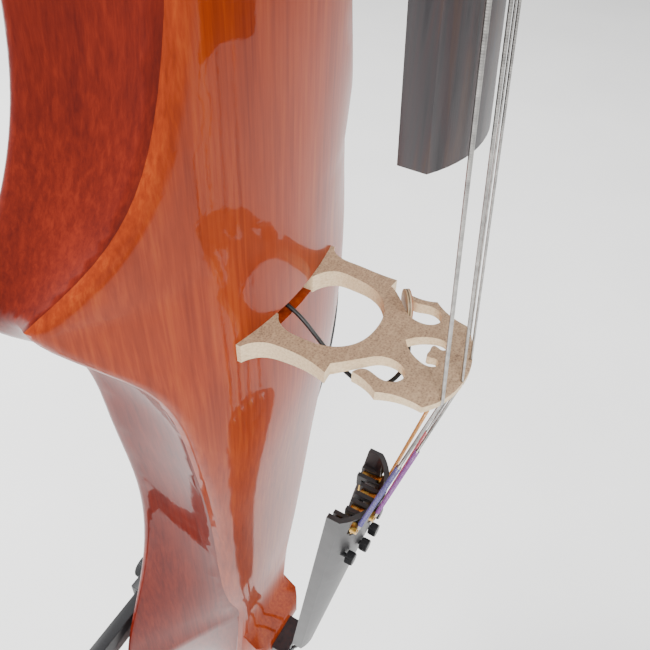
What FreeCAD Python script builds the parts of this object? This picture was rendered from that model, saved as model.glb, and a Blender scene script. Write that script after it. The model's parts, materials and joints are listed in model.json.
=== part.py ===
"""Full-size electric cello: slim carved body, bolt-on knee and chest supports, piezo bridge pickup.

Frame: origin at the endpin's tip, on the endpin's axis.  +Z runs up the instrument to the scroll,
-Y faces the audience (the strings' side) and +X is the treble (A string) side.  Lengths are in mm.
Most places are given as (across, rise, up): across from the centre line, rise in front of the belly's
crest under the bridge, and up from the bridge.
"""
import FreeCAD, Part
import math
import os
import re
import Sketcher
from FreeCAD import Placement, Rotation, Vector

# ------------------------------------------------------------------ driving dimensions
SIZES = [
    # overall
    ("bridge_up", 710.0, "bridge above the endpin's tip"),
    ("belly_front", 45.0, "belly crest in front of the endpin's axis"),
    ("body_below", 430.0, "bridge to the body's bottom"),
    ("body_above", 385.0, "bridge to the neck's root"),
    ("string_length", 693.0, "bridge to nut"),
    ("body_depth", 80.0, "belly crest to the flat back"),
    # body outline: half widths of the belly edge and of the back
    ("root_half", 26.0, "neck root"),
    ("shoulder_up", 300.0, "shoulder station"),
    ("shoulder_front", 47.0, "belly half width at the shoulder"),
    ("shoulder_back", 58.0, "back half width at the shoulder"),
    ("chest_up", 165.0, "chest station"),
    ("chest_front", 56.0, "belly half width at the chest"),
    ("chest_back", 70.0, "back half width at the chest"),
    ("flare_up", 101.0, "flare station"),
    ("flare_front", 76.0, "belly half width at the flare"),
    ("flare_back", 88.0, "back half width at the flare"),
    ("corner_up", 50.0, "upper corner"),
    ("corner_front", 119.0, "belly half width at the corner"),
    ("corner_back", 122.0, "back half width at the corner"),
    ("waist_front", 73.0, "belly half width at the waist"),
    ("waist_back", 72.0, "back half width at the waist"),
    ("hip_up", -240.0, "hip station"),
    ("hip_front", 50.0, "belly half width at the hip"),
    ("hip_back", 87.0, "back half width at the hip"),
    ("foot_corner_up", -335.0, "lower corner"),
    ("foot_corner_front", 31.0, "belly half width at the lower corner"),
    ("foot_corner_back", 128.0, "back half width at the lower corner"),
    ("bottom_front", 33.0, "belly half width at the bottom"),
    ("bottom_back", 66.0, "back half width at the bottom"),
    ("arch_radius", 288.0, "cross arch of the belly"),
    ("belly_drop", 30.0, "fall of the belly crest at the bottom"),
    ("plate_thick", 8.0, "belly plate"),
    ("arris_round", 4.0, "rounding of the belly's edge"),
    ("back_round", 7.0, "rounding of the back's edge"),
    ("flank_hollow", 3.5, "hollow of the flanks"),
    ("block_rise", -13.0, "top of the raised end block"),
    ("block_half", 34.0, "half width of the end block"),
    ("block_long", 44.0, "length of the end block"),
    ("slot_half", 18.0, "half length of the lead slot"),
    ("slot_top", 5.0, "lead slot above the bridge line"),
    ("slot_low", 4.5, "lead slot below the bridge line"),
    ("cavity_half", 44.0, "electronics cavity half width"),
    ("cavity_top", 64.0, "cavity above the bridge line"),
    ("cavity_low", 42.0, "cavity below the bridge line"),
    ("cavity_deep", 46.0, "cavity depth from the back"),
    # neck
    ("board_end", 115.0, "fingerboard end above the bridge"),
    ("board_end_half", 31.0, "fingerboard half width at its end"),
    ("board_nut_half", 16.0, "fingerboard half width at the nut"),
    ("board_end_rise", 79.5, "fingerboard crest at its end"),
    ("board_nut_rise", 33.6, "fingerboard crest at the nut"),
    ("board_radius", 61.0, "fingerboard arch"),
    ("board_thick_end", 20.0, "fingerboard depth at its end"),
    ("board_thick_nut", 10.0, "fingerboard depth at the nut"),
    ("neck_depth", 20.0, "neck depth behind the fingerboard"),
    ("nut_long", 7.0, "nut along the strings"),
    ("nut_proud", 1.6, "nut above the fingerboard"),
    ("nut_spacing", 7.6, "string spacing at the nut"),
    ("pegbox_long", 140.0, "pegbox"),
    ("pegbox_tilt", 16.0, "pegbox tilt in degrees"),
    ("pegbox_half_nut", 18.0, "pegbox half width at the nut"),
    ("pegbox_half_throat", 13.5, "pegbox half width at the throat"),
    ("pegbox_deep_nut", 33.0, "pegbox depth at the nut"),
    ("pegbox_deep_throat", 25.0, "pegbox depth at the throat"),
    ("pegbox_wall", 5.5, "pegbox wall"),
    ("post_room", 34.0, "well behind the chest post's socket, in the body"),
    ("ferrule_radius", 4.8, "endpin tip's parallel part"),
    ("scroll_radius", 29.0, "scroll's outer turn"),
    # bridge
    ("foot_thick", 11.5, "bridge thickness at the feet"),
    ("crown_thick", 3.0, "bridge thickness at the crown"),
    ("bridge_shift", 1.9, "bridge cut-outs towards the treble side"),
    ("bridge_spacing", 15.65, "string spacing at the bridge"),
    ("rise_low_c", 92.5, "C string over the belly"),
    ("rise_low_g", 95.9, "G string over the belly"),
    ("rise_mid_d", 94.5, "D string over the belly"),
    ("rise_high_a", 88.1, "A string over the belly"),
    ("string_r_c", 0.95, "C string radius"),
    ("string_r_g", 0.75, "G string radius"),
    ("string_r_d", 0.62, "D string radius"),
    ("string_r_a", 0.50, "A string radius"),
    ("silk_extra", 0.45, "silk wrap over the string's radius"),
    ("silk_start", 64.0, "silk wrap begins below the bridge"),
    ("pickup_radius", 9.0, "piezo disc"),
    ("pickup_thick", 2.6, "piezo disc thickness"),
    ("lead_radius", 1.2, "pickup lead"),
    # tailpiece
    ("tail_head_up", -132.0, "tailpiece head"),
    ("tail_end_up", -398.0, "tailpiece end"),
    ("tail_head_half", 30.0, "tailpiece half width at the head"),
    ("tail_end_half", 13.0, "tailpiece half width at the end"),
    ("tail_head_rise", 65.0, "tailpiece crest at the head"),
    ("tail_end_rise", 20.0, "tailpiece crest at the end"),
    ("tail_head_edge", 15.0, "arch height of the head"),
    ("tail_end_edge", 4.0, "arch height of the end"),
    ("tail_thick", 3.4, "tailpiece wall"),
    ("tail_hollow_low", -262.0, "where the hollow under the tailpiece ends"),
    ("lever_thick", 3.4, "tuner lever across"),
    ("lever_reach", 34.0, "tuner lever from its pivot to its screw"),
    ("pivot_radius", 1.5, "tuner pivot pin"),
    ("tuner_screw_radius", 1.6, "tuner screw shank"),
    ("gut_radius", 1.6, "tailgut"),
    ("saddle_half", 17.0, "saddle half width"),
    ("saddle_rise", 2.0, "saddle top"),
    ("saddle_long", 9.0, "saddle along the body"),
    # endpin
    ("rod_radius", 5.0, "endpin rod"),
    ("rod_long", 410.0, "endpin rod with its tip"),
    ("tip_long", 22.0, "endpin tip"),
    ("collar_radius", 14.5, "endpin collar barrel"),
    ("collar_out", 22.0, "collar outside the body"),
    ("sleeve_radius", 11.0, "collar sleeve inside the body"),
    ("sleeve_long", 42.0, "collar sleeve length"),
    ("bore_long", 370.0, "endpin bore in the body"),
    # fits
    ("running", 0.06, "radial running clearance"),
    ("gap", 0.3, "clearance between neighbours"),
    # supports
    ("support_radius", 216.0, "outer edge of the knee supports"),
    ("support_centre_up", -194.0, "centre of the knee supports' curve"),
    ("support_band", 16.0, "knee support width"),
    ("pad_thick", 4.0, "rubber pads"),
    ("support_top_angle", 4.0, "upper end of the support, degrees"),
    ("support_low_angle", -56.0, "lower end of the support, degrees"),
    ("support_deep", 26.0, "knee support front to back"),
    ("arm_up", -294.0, "knee arm"),
    ("arm_wide", 22.0, "knee arm along Z"),
    ("arm_thick", 10.0, "knee arm front to back"),
    ("arm_inner", 38.0, "inner end of the knee arm"),
    ("bracket_wall", 4.0, "bracket wall"),
    ("bracket_inner", 34.0, "bracket inner side"),
    ("bracket_long", 46.0, "bracket along the arm"),
    ("screw_radius", 3.0, "thumbscrew shank"),
    ("head_radius", 9.0, "thumbscrew head"),
    ("chest_bracket_up", 318.0, "chest support bracket"),
    ("post_radius", 7.0, "chest support post"),
    ("post_long", 74.0, "chest support post"),
    ("chest_pad_half", 62.0, "chest pad half width"),
    ("chest_pad_tall", 40.0, "chest pad height"),
    ("chest_pad_thick", 12.0, "chest pad thickness"),
    # electronics
    ("panel_half", 50.0, "control plate half width"),
    ("panel_top", 70.0, "control plate above the bridge line"),
    ("panel_low", 50.0, "control plate below the bridge line"),
    ("panel_thick", 2.0, "control plate"),
    ("knob_radius", 8.0, "knobs"),
    ("knob_tall", 12.0, "knobs"),
    ("pot_shaft", 3.0, "potentiometer shaft radius"),
    ("control_across", 28.0, "controls from the centre line"),
    ("upper_control_up", 50.0, "upper row of controls"),
    ("lower_control_up", 20.0, "lower row of controls"),
    ("jack_radius", 3.175, "output jack bore"),
    ("jack_depth", 28.0, "output jack length"),
    ("phones_radius", 1.75, "headphone jack bore"),
    ("phones_depth", 14.0, "headphone jack length"),
    ("door_half", 30.0, "battery door half width"),
    ("door_top", 2.0, "battery door above the bridge line"),
    ("door_low", 32.0, "battery door below the bridge line"),
    ("door_hinge_radius", 1.5, "battery door pin"),
]

doc = FreeCAD.newDocument("ElectricCello")
sheet = doc.addObject("Spreadsheet::Sheet", "Sizes")
for row, (alias, value, meaning) in enumerate(SIZES, 1):
    sheet.set("A%d" % row, meaning)
    sheet.set("B%d" % row, str(value))
    sheet.setAlias("B%d" % row, alias)
doc.recompute()
ALIASES = {alias for alias, value, meaning in SIZES}
subparts = []


# ------------------------------------------------------------------ helpers
def bound(expression):
    """The expression with each size named in it read from the sheet."""
    return re.sub(r"[a-z][a-z_0-9]*", lambda w: "Sizes." + w[0] if w[0] in ALIASES else w[0], str(expression))


def number(expression):
    """The expression's present value."""
    result = sheet.evalExpression(bound(expression))
    return float(getattr(result, "Value", result))


def spot(across, rise, up):
    """The point at these places, in the frame of the whole instrument."""
    return Vector(across, -(number("belly_front") + rise), number("bridge_up") + up)


def keep(item, node):
    """Names a finished sub-part; the label is the name of its file."""
    item.Label = node
    subparts.append(item)
    return item


def place(item, across, rise, up, axis=Vector(0, 0, 1)):
    """Binds an item's place to the sheet and turns its own Z to the axis."""
    item.Placement = Placement(Vector(), Rotation(Vector(0, 0, 1), axis))
    item.setExpression("Placement.Base.x", bound(across))
    item.setExpression("Placement.Base.y", bound("-(belly_front + (%s))" % rise))
    item.setExpression("Placement.Base.z", bound("bridge_up + (%s)" % up))
    return item


def primitive(kind, name, sizes, across, rise, up, axis=Vector(0, 0, 1)):
    """A Part primitive with its sizes and place bound to the sheet."""
    item = doc.addObject("Part::" + kind, name)
    for prop, expression in sizes.items():
        item.setExpression(prop, bound(expression))
    return place(item, across, rise, up, axis)


def cylinder(name, radius, length, across, rise, up, axis=Vector(0, 0, 1)):
    return primitive("Cylinder", name, {"Radius": radius, "Height": length}, across, rise, up, axis)


def box(name, wide, deep, tall, across, rise, up):
    """A box centred on across, whose front face stands at rise and whose lower face is at up."""
    item = doc.addObject("Part::Box", name)
    for prop, expression in (("Length", wide), ("Width", deep), ("Height", tall)):
        item.setExpression(prop, bound(expression))
    return place(item, "%s - (%s) / 2" % (across, wide), rise, up)


def fuse(name, *items):
    joined = doc.addObject("Part::MultiFuse", name)
    joined.Shapes = list(items)
    return joined


def cut(name, base, *tools):
    result = doc.addObject("Part::Cut", name)
    result.Base = base
    result.Tool = tools[0] if len(tools) == 1 else fuse(name + "_tools", *tools)
    return result


def shaped(name, shape):
    """A Part feature for a shape that needs lofts or free curves."""
    item = doc.addObject("Part::Feature", name)
    item.Shape = shape
    item.Placement = Placement()
    return item


def plane_of(body, role):
    return next(item for item in body.Origin.OriginFeatures if item.Role == role)


def sketch_polygon(body, name, role, points):
    """A closed sketch whose corners are bound to the sheet."""
    sketch = body.newObject("Sketcher::SketchObject", name)
    sketch.AttachmentSupport = [(plane_of(body, role), "")]
    sketch.MapMode = "FlatFace"
    values = [Vector(number(u), number(v), 0) for u, v in points]
    count = len(values)
    for index in range(count):
        sketch.addGeometry(Part.LineSegment(values[index], values[(index + 1) % count]), False)
    for index in range(count):
        sketch.addConstraint(Sketcher.Constraint("Coincident", index, 2, (index + 1) % count, 1))
    for index, (u, v) in enumerate(points):
        for kind, value, expression in (("DistanceX", values[index].x, u), ("DistanceY", values[index].y, v)):
            label = "%s%d" % (kind, index)
            sketch.addConstraint(Sketcher.Constraint(kind, -1, 1, index, 1, value))
            sketch.renameConstraint(sketch.ConstraintCount - 1, label)
            sketch.setExpression("Constraints." + label, bound(expression))
    return sketch


def turned(name, outline, across, rise, up, axis=Vector(0, 0, 1)):
    """A PartDesign body turned about its own Z from an outline of (radius, height) corners."""
    body = doc.addObject("PartDesign::Body", name)
    sketch = sketch_polygon(body, name + "_profile", "XZ_Plane", outline)
    revolution = body.newObject("PartDesign::Revolution", name + "_turn")
    revolution.Profile = sketch
    revolution.ReferenceAxis = (sketch, ["V_Axis"])
    revolution.Angle = 360.0
    return place(body, across, rise, up, axis)


def padded(name, outline, thickness, across, rise, up):
    """A PartDesign body padded towards the back from an outline in (across, up)."""
    body = doc.addObject("PartDesign::Body", name)
    sketch = sketch_polygon(body, name + "_profile", "XZ_Plane", outline)
    pad = body.newObject("PartDesign::Pad", name + "_pad")
    pad.Profile = sketch
    pad.setExpression("Length", bound(thickness))
    pad.Reversed = True
    return place(body, across, rise, up)


def smooth(points):
    """One spline edge through the points."""
    curve = Part.BSplineCurve()
    curve.interpolate(points)
    return curve.toShape()


def line(start, end):
    return Part.LineSegment(start, end).toShape()


def arc(start, middle, end):
    return Part.Arc(start, middle, end).toShape()


def closed(*edges):
    return Part.Wire(Part.__sortEdges__(list(edges)))


def extruded(edges, along):
    return Part.Face(closed(*edges)).extrude(along)


def cord_path(points):
    """Straight runs joined by tangent arcs, each as large as its two runs allow, and the arcs' radii."""
    edges, radii, start = [], [], points[0]
    for before, corner, after in zip(points, points[1:], points[2:]):
        back, ahead = before - corner, after - corner
        run = min(back.Length, ahead.Length)
        turn = math.pi - back.getAngle(ahead)
        radii.append(0.45 * run / math.tan(turn / 2))
        unit_back, unit_ahead = Vector(back).normalize(), Vector(ahead).normalize()
        enter, leave = corner + unit_back * 0.45 * run, corner + unit_ahead * 0.45 * run
        inward = (unit_back + unit_ahead).normalize()
        middle = corner + inward * radii[-1] * (1 / math.cos(turn / 2) - 1)
        edges += [line(start, enter), arc(enter, middle, leave)]
        start = leave
    edges.append(line(start, points[-1]))
    return Part.Wire(edges), radii


def tube(wire, radius, start, ahead):
    """A round tube along the wire."""
    section = Part.Wire(Part.makeCircle(radius, start, ahead))
    return wire.makePipeShell([section], True, True)


# ------------------------------------------------------------------ body
# The belly's crest falls towards the bottom; across, the belly is a shallow arch.
def crest(up):
    """Rise of the belly's centre line at this station."""
    fall_start = -60.0
    if up > fall_start:
        return 0.0
    share = (fall_start - up) / (number("body_below") + fall_start)
    return -number("belly_drop") * min(1.0, share * (1.35 - 0.35 * share))


def belly_rise(across, up):
    return crest(up) - across ** 2 / (2 * number("arch_radius")) - 9e-8 * across ** 4


# stations: height, belly half width, back half width
upper_stations = [
    ("body_above", "root_half", "root_half + 2"),
    ("(body_above + shoulder_up) / 2", "root_half * 0.35 + shoulder_front * 0.65", "shoulder_back * 0.8 + 3"),
    ("shoulder_up", "shoulder_front", "shoulder_back"),
    ("(shoulder_up + chest_up) / 2", "(shoulder_front + chest_front) / 2 + 0.5", "(shoulder_back + chest_back) / 2"),
    ("chest_up", "chest_front", "chest_back"),
    ("chest_up - 34", "chest_front + 8", "chest_back + 6"),
    ("flare_up", "flare_front", "flare_back"),
    ("(flare_up + corner_up) / 2", "flare_front * 0.56 + corner_front * 0.44", "(flare_back + corner_back) / 2"),
    ("corner_up", "corner_front", "corner_back"),
]
waist_stations = [
    ("corner_up", "corner_front", "corner_back"),
    ("corner_up - 18", "corner_front - 9", "corner_back - 8"),
    ("corner_up - 50", "corner_front * 0.28 + waist_front * 0.72 + 3", "corner_back * 0.32 + waist_back * 0.68"),
    ("corner_up - 116", "waist_front", "waist_back + 2"),
    ("corner_up - 200", "waist_front * 0.45 + hip_front * 0.55 - 0.5", "waist_back - 4"),
    ("hip_up", "hip_front", "hip_back"),
    ("hip_up - 60", "hip_front * 0.4 + foot_corner_front * 0.6", "hip_back * 0.35 + foot_corner_back * 0.65"),
    ("foot_corner_up", "foot_corner_front", "foot_corner_back"),
]
bottom_stations = [
    ("foot_corner_up", "foot_corner_front", "foot_corner_back"),
    ("-body_below", "bottom_front", "bottom_back"),
]


def section_wires(up, front_half, back_half):
    """The belly plate's and the core's outlines at one station, from the belly edge to the flat back."""
    depth = number("body_depth")
    edge_rise = belly_rise(front_half, up)
    flank = Vector(back_half - front_half, -depth - edge_rise)
    flank_length = flank.Length
    thick, arris = number("plate_thick"), number("arris_round")
    fold, hollow = number("back_round"), number("flank_hollow")

    def on_flank(distance, side):
        return spot(side * (front_half + flank.x * distance / flank_length),
                    edge_rise + flank.y * distance / flank_length, up)

    def on_belly(across):
        return spot(across, belly_rise(across, up), up)

    def arris_middle(side):
        inner, outer = on_belly(side * (front_half - arris)), on_flank(arris, side)
        return (inner + outer) * 0.5 * 0.6 + spot(side * front_half, edge_rise, up) * 0.4

    crown = on_belly(0)
    joint_middle = spot(0, crest(up) - thick, up)
    left, right = on_flank(thick, -1), on_flank(thick, 1)
    joint = arc(left, joint_middle, right)
    plate = [
        arc(on_belly(arris - front_half), crown, on_belly(front_half - arris)),
        arc(on_belly(front_half - arris), arris_middle(1), on_flank(arris, 1)),
        line(on_flank(arris, 1), right),
        joint,
        line(left, on_flank(arris, -1)),
        arc(on_flank(arris, -1), arris_middle(-1), on_belly(arris - front_half)),
    ]

    def hollowed(side):
        middle = on_flank((thick + flank_length - fold) / 2, side)
        return middle - Vector(side * hollow, 0, 0)

    def fold_middle(side):
        flat = spot(side * (back_half - fold), -depth, up)
        return (flat + on_flank(flank_length - fold, side)) * 0.5 * 0.6 + spot(side * back_half, -depth, up) * 0.4

    low_right, low_left = on_flank(flank_length - fold, 1), on_flank(flank_length - fold, -1)
    back_right = spot(back_half - fold, -depth, up)
    back_left = spot(fold - back_half, -depth, up)
    core = [
        joint,
        arc(right, hollowed(1), low_right),
        arc(low_right, fold_middle(1), back_right),
        line(back_right, back_left),
        arc(back_left, fold_middle(-1), low_left),
        arc(low_left, hollowed(-1), left),
    ]
    return Part.Wire(plate), Part.Wire(core)


def body_lofts():
    plates, cores = [], []
    for stations, ruled in ((upper_stations, False), (waist_stations, False), (bottom_stations, True)):
        wires = [section_wires(*(number(value) for value in station)) for station in stations]
        plates.append(Part.makeLoft([plate for plate, core in wires], True, ruled))
        cores.append(Part.makeLoft([core for plate, core in wires], True, ruled))
    return plates[0].fuse(plates[1:]), cores[0].fuse(cores[1:])


def end_block():
    """The raised block at the bottom that the saddle stands on, rounded into the belly."""
    top, half = number("block_rise"), number("block_half")
    bottom, length = -number("body_below"), number("block_long")
    root = -number("body_depth") * 0.7
    front = [spot(-half, root, bottom), spot(-half, top - 5, bottom), spot(-half + 6, top, bottom),
             spot(half - 6, top, bottom), spot(half, top - 5, bottom), spot(half, root, bottom)]
    edges = [line(start, end) for start, end in zip(front, front[1:] + front[:1])]
    block = extruded(edges, Vector(0, 0, length))
    ramp_length, ramp_drop = 16.0, 18.0
    ramp = extruded([line(spot(0, top, bottom + length - ramp_length), spot(0, top + ramp_drop, bottom + length)),
                     line(spot(0, top + ramp_drop, bottom + length), spot(0, top - ramp_drop, bottom + length)),
                     line(spot(0, top - ramp_drop, bottom + length), spot(0, top, bottom + length - ramp_length))],
                    Vector(2 * half + 2, 0, 0))
    ramp.translate(Vector(-half - 1, 0, 0))
    return block.cut(ramp)


plate_shape, core_shape = body_lofts()
block_shape = end_block()
plate_loft = shaped("PlateLoft", plate_shape.fuse(block_shape.cut(core_shape)).removeSplitter())
core_loft = shaped("CoreLoft", core_shape)

slot_cutter = box("SlotCutter", "2 * slot_half", "body_depth - cavity_deep + 12", "slot_top + slot_low",
                  "0", "10", "-slot_low")
cavity_cutter = box("CavityCutter", "2 * cavity_half", "cavity_deep", "cavity_top + cavity_low",
                    "0", "cavity_deep - body_depth", "-cavity_low")
panel_cutter = box("PanelCutter", "2 * panel_half + 2 * gap", "panel_thick", "panel_top + panel_low + 2 * gap",
                   "0", "panel_thick - body_depth", "-panel_low - gap")
bore_cutter = primitive("Cylinder", "BoreCutter", {"Radius": "rod_radius + 0.6", "Height": "bore_long"},
                        "0", "-belly_front", "-body_below")
sleeve_cutter = primitive("Cylinder", "SleeveCutter", {"Radius": "sleeve_radius", "Height": "sleeve_long"},
                          "0", "-belly_front", "-body_below")
belly_plate = keep(cut("BellyPlate", plate_loft, slot_cutter, sleeve_cutter, bore_cutter), "belly_plate")
body_core = cut("BodyCore", core_loft, slot_cutter, cavity_cutter, panel_cutter, bore_cutter, sleeve_cutter)


# ------------------------------------------------------------------ strings' places
class StringPlace:
    """Where one string runs: over the bridge, the nut, the tailpiece and its peg."""

    def __init__(self, letter, index, rise, peg_order, side):
        self.letter = letter
        self.bridge_x = (index - 1.5) * number("bridge_spacing")
        self.bridge_rise = number(rise)
        self.nut_x = (index - 1.5) * number("nut_spacing")
        self.radius = number("string_r_" + letter)
        self.nut_rise = board_rise(number("string_length"), self.nut_x) + number("nut_proud") - 0.6 + self.radius
        self.side = side
        self.peg_along = 26.0 + 27.0 * peg_order

    def over_bridge(self):
        return spot(self.bridge_x, self.bridge_rise, 0)

    def over_nut(self):
        return spot(self.nut_x, self.nut_rise, number("string_length"))


def board_share(up):
    return (up - number("board_end")) / (number("string_length") - number("board_end"))


def board_half(up):
    share = board_share(up)
    return number("board_end_half") * (1 - share) + number("board_nut_half") * share


def board_crest(up):
    share = board_share(up)
    return number("board_end_rise") * (1 - share) + number("board_nut_rise") * share


def board_rise(up, across):
    """The fingerboard's surface at this place."""
    radius = number("board_radius")
    return board_crest(up) - radius + math.sqrt(radius ** 2 - across ** 2)


def board_under(up):
    """The fingerboard's flat underside."""
    share = board_share(up)
    return board_crest(up) - number("board_thick_end") * (1 - share) - number("board_thick_nut") * share


strings = [
    StringPlace("c", 0, "rise_low_c", 0, -1),
    StringPlace("g", 1, "rise_low_g", 2, -1),
    StringPlace("d", 2, "rise_mid_d", 3, 1),
    StringPlace("a", 3, "rise_high_a", 1, 1),
]


# ------------------------------------------------------------------ fingerboard and nut
def board_section(up, crest_lift=0.0):
    half, under = board_half(up), board_under(up)
    edge = board_rise(up, half) + crest_lift
    corners = [spot(-half, under, up), spot(-half, edge, up), spot(half, edge, up), spot(half, under, up)]
    return closed(line(corners[0], corners[1]),
                  arc(corners[1], spot(0, board_crest(up) + crest_lift, up), corners[2]),
                  line(corners[2], corners[3]), line(corners[3], corners[0]))


def fingerboard_shape():
    board = Part.makeLoft([board_section(number("board_end")), board_section(number("string_length"))], True, True)
    hollow_half, hollow_deep, clear_of_neck = 17.0, 7.0, 8.0
    start, end = number("board_end") - 1, number("body_above") - clear_of_neck
    hollow = Part.makeLoft([closed(
        arc(spot(-hollow_half, board_under(up) - 1, up), spot(0, board_under(up) + hollow_deep, up),
            spot(hollow_half, board_under(up) - 1, up)),
        line(spot(hollow_half, board_under(up) - 1, up), spot(-hollow_half, board_under(up) - 1, up)))
        for up in (start, end)], True, True)
    return board.cut(hollow)


def string_line(place, radius):
    """A straight rod along the string from above the nut to behind the bridge."""
    start, end = place.over_bridge(), place.over_nut()
    ahead = end - start
    reach = 1.03
    return Part.makeCylinder(radius, ahead.Length * reach, start - ahead * 0.015, ahead)


fingerboard = keep(shaped("Fingerboard", fingerboard_shape()), "fingerboard")
nut_start = number("string_length")
nut_end = nut_start + number("nut_long")
nut_lift = number("nut_proud")
nut_blank = Part.makeLoft([board_section(nut_start, nut_lift), board_section(nut_end, nut_lift - 0.8)], True, True)
for place_of_string in strings:
    nut_blank = nut_blank.cut(string_line(place_of_string, place_of_string.radius + number("running")))
nut = keep(shaped("Nut", nut_blank), "nut")


# ------------------------------------------------------------------ neck, pegbox and scroll
def neck_section(up, half, depth):
    """A D shape: flat under the fingerboard, round behind."""
    top = board_under(up)
    behind = smooth([spot(half, top, up), spot(half * 0.93, top - depth * 0.45, up), spot(0, top - depth, up),
                     spot(-half * 0.93, top - depth * 0.45, up), spot(-half, top, up)])
    return closed(behind, line(spot(-half, top, up), spot(half, top, up)))


class Pegbox:
    """The tilted frame of the pegbox: along it from the nut, and deep behind its front edge."""

    def __init__(self):
        self.tilt = math.radians(number("pegbox_tilt"))
        self.start = spot(0, board_under(nut_end) + 3.0, nut_end)
        self.along = Vector(0, math.sin(self.tilt), math.cos(self.tilt))
        self.behind = Vector(0, math.cos(self.tilt), -math.sin(self.tilt))

    def at(self, across, along, deep):
        return self.start + Vector(across, 0, 0) + self.along * along + self.behind * deep

    def section(self, along, half, shallow, deep):
        corners = [self.at(-half, along, shallow), self.at(half, along, shallow),
                   self.at(half, along, deep), self.at(-half, along, deep)]
        return closed(*(line(a, b) for a, b in zip(corners, corners[1:] + corners[:1])))

    def half(self, along):
        share = along / number("pegbox_long")
        return number("pegbox_half_nut") * (1 - share) + number("pegbox_half_throat") * share

    def deep(self, along):
        share = along / number("pegbox_long")
        return number("pegbox_deep_nut") * (1 - share) + number("pegbox_deep_throat") * share


pegbox = Pegbox()
peg_depth = 15.5
peg_shaft_wide, peg_shaft_thin = 6.2, 5.2
peg_reach_out = 3.0


def scroll_turn(centre, outer, start, end, half):
    """One turn of the scroll as a slab of this half width; angles in turns, from the back of the throat."""
    shrink_per_turn, steps = 0.47, 24
    points = []
    for step in range(steps + 1):
        turn = start + (end - start) * step / steps
        radius = outer * shrink_per_turn ** turn
        angle = math.pi / 2 - 2 * math.pi * turn
        points.append(centre + pegbox.along * radius * math.cos(angle) + pegbox.behind * radius * math.sin(angle)
                      - Vector(half, 0, 0))
    return extruded([smooth(points), line(points[-1], points[0])], Vector(2 * half, 0, 0))


def heel_shape(root, heel_top):
    """The heel: a side profile swept down to the back of the body, rounded behind."""
    back = -number("body_depth")
    shaft_back = board_under(heel_top) - number("neck_depth") - 2.5
    half = board_half(root) - 1.2
    profile = [line(spot(0, board_under(root), root), spot(0, back, root)),
               line(spot(0, back, root), spot(0, back, root + 6)),
               arc(spot(0, back, root + 6), spot(0, shaft_back - 34, root + 26), spot(0, shaft_back, heel_top)),
               line(spot(0, shaft_back, heel_top), spot(0, board_under(heel_top), heel_top)),
               line(spot(0, board_under(heel_top), heel_top), spot(0, board_under(root), root))]
    block = extruded(profile, Vector(half, 0, 0)).fuse(extruded(profile, Vector(-half, 0, 0))).removeSplitter()
    slices = []
    for step in range(9):
        up = root + (heel_top - root) * step / 8
        deep = board_under(up) - back + 0.5 - 80.0 * (step / 8) ** 1.0
        slices.append(neck_section(up, half - 0.15 * step, max(deep, number("neck_depth") + 3.5)))
    return block.common(Part.makeLoft(slices, True, True))


def neck_shape():
    root, nut_up = number("body_above"), nut_end
    neck_depth = number("neck_depth")
    heel_top = root + 62
    shaft = Part.makeLoft([neck_section(heel_top - 30, board_half(heel_top - 30) - 0.8, neck_depth + 3),
                           neck_section(nut_up, board_half(nut_up) - 0.1, neck_depth - 2)], True, True)
    shaft = shaft.fuse(heel_shape(root, heel_top))
    long = number("pegbox_long")
    cheeks = Part.makeLoft([pegbox.section(0, pegbox.half(0) - 0.5, 3.6, pegbox.deep(0) - 8),
                            pegbox.section(22, pegbox.half(22), 0, pegbox.deep(22)),
                            pegbox.section(long, pegbox.half(long), 0, pegbox.deep(long))], True, True)
    wall, floor = number("pegbox_wall"), 6.0
    mouth = Part.makeLoft([pegbox.section(2.5, pegbox.half(2.5) - wall, -6, 7),
                           pegbox.section(28, pegbox.half(28) - wall, -4, pegbox.deep(28) - floor),
                           pegbox.section(40, pegbox.half(40) - wall, -4, pegbox.deep(40) - floor),
                           pegbox.section(long - 12, pegbox.half(long) - wall + 1, -4, pegbox.deep(long) - floor)],
                          True, True)
    radius = number("scroll_radius")
    centre = pegbox.at(0, long + radius * 0.62, pegbox.deep(long) - radius)
    throat = pegbox.half(long)
    eye_radius, eye_half = radius * 0.17, throat + 15
    blank = shaft.fuse(cheeks).cut(mouth)
    neck_under_scroll = Part.makeLoft([pegbox.section(long - 1, throat - 0.2, 0.5, pegbox.deep(long) - 0.3),
                                       pegbox.section(long + radius * 0.62, throat - 0.4, 6.0,
                                                      pegbox.deep(long) - 0.8)], True, True)
    blank = blank.fuse(neck_under_scroll)
    for share, first, last, wider in ((1.0, 0.0, 1.0, 1), (0.97, 0.55, 1.55, 6), (0.94, 1.1, 2.1, 11)):
        blank = blank.fuse(scroll_turn(centre, radius * share, first, last, throat + wider))
    eye = Part.makeCylinder(eye_radius, 2 * eye_half, centre - Vector(eye_half, 0, 0), Vector(1, 0, 0))
    return blank.fuse(eye)


neck_blank = neck_shape()
for place_of_string in strings:
    side = place_of_string.side
    half = pegbox.half(place_of_string.peg_along)
    start = pegbox.at(side * (half + 2), place_of_string.peg_along, peg_depth)
    hole = Part.makeCone(peg_shaft_wide + number("running"), peg_shaft_thin + number("running"), 2 * half + 6,
                         start, Vector(-side, 0, 0))
    neck_blank = neck_blank.cut(hole)
neck = keep(shaped("Neck", neck_blank), "neck")


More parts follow.
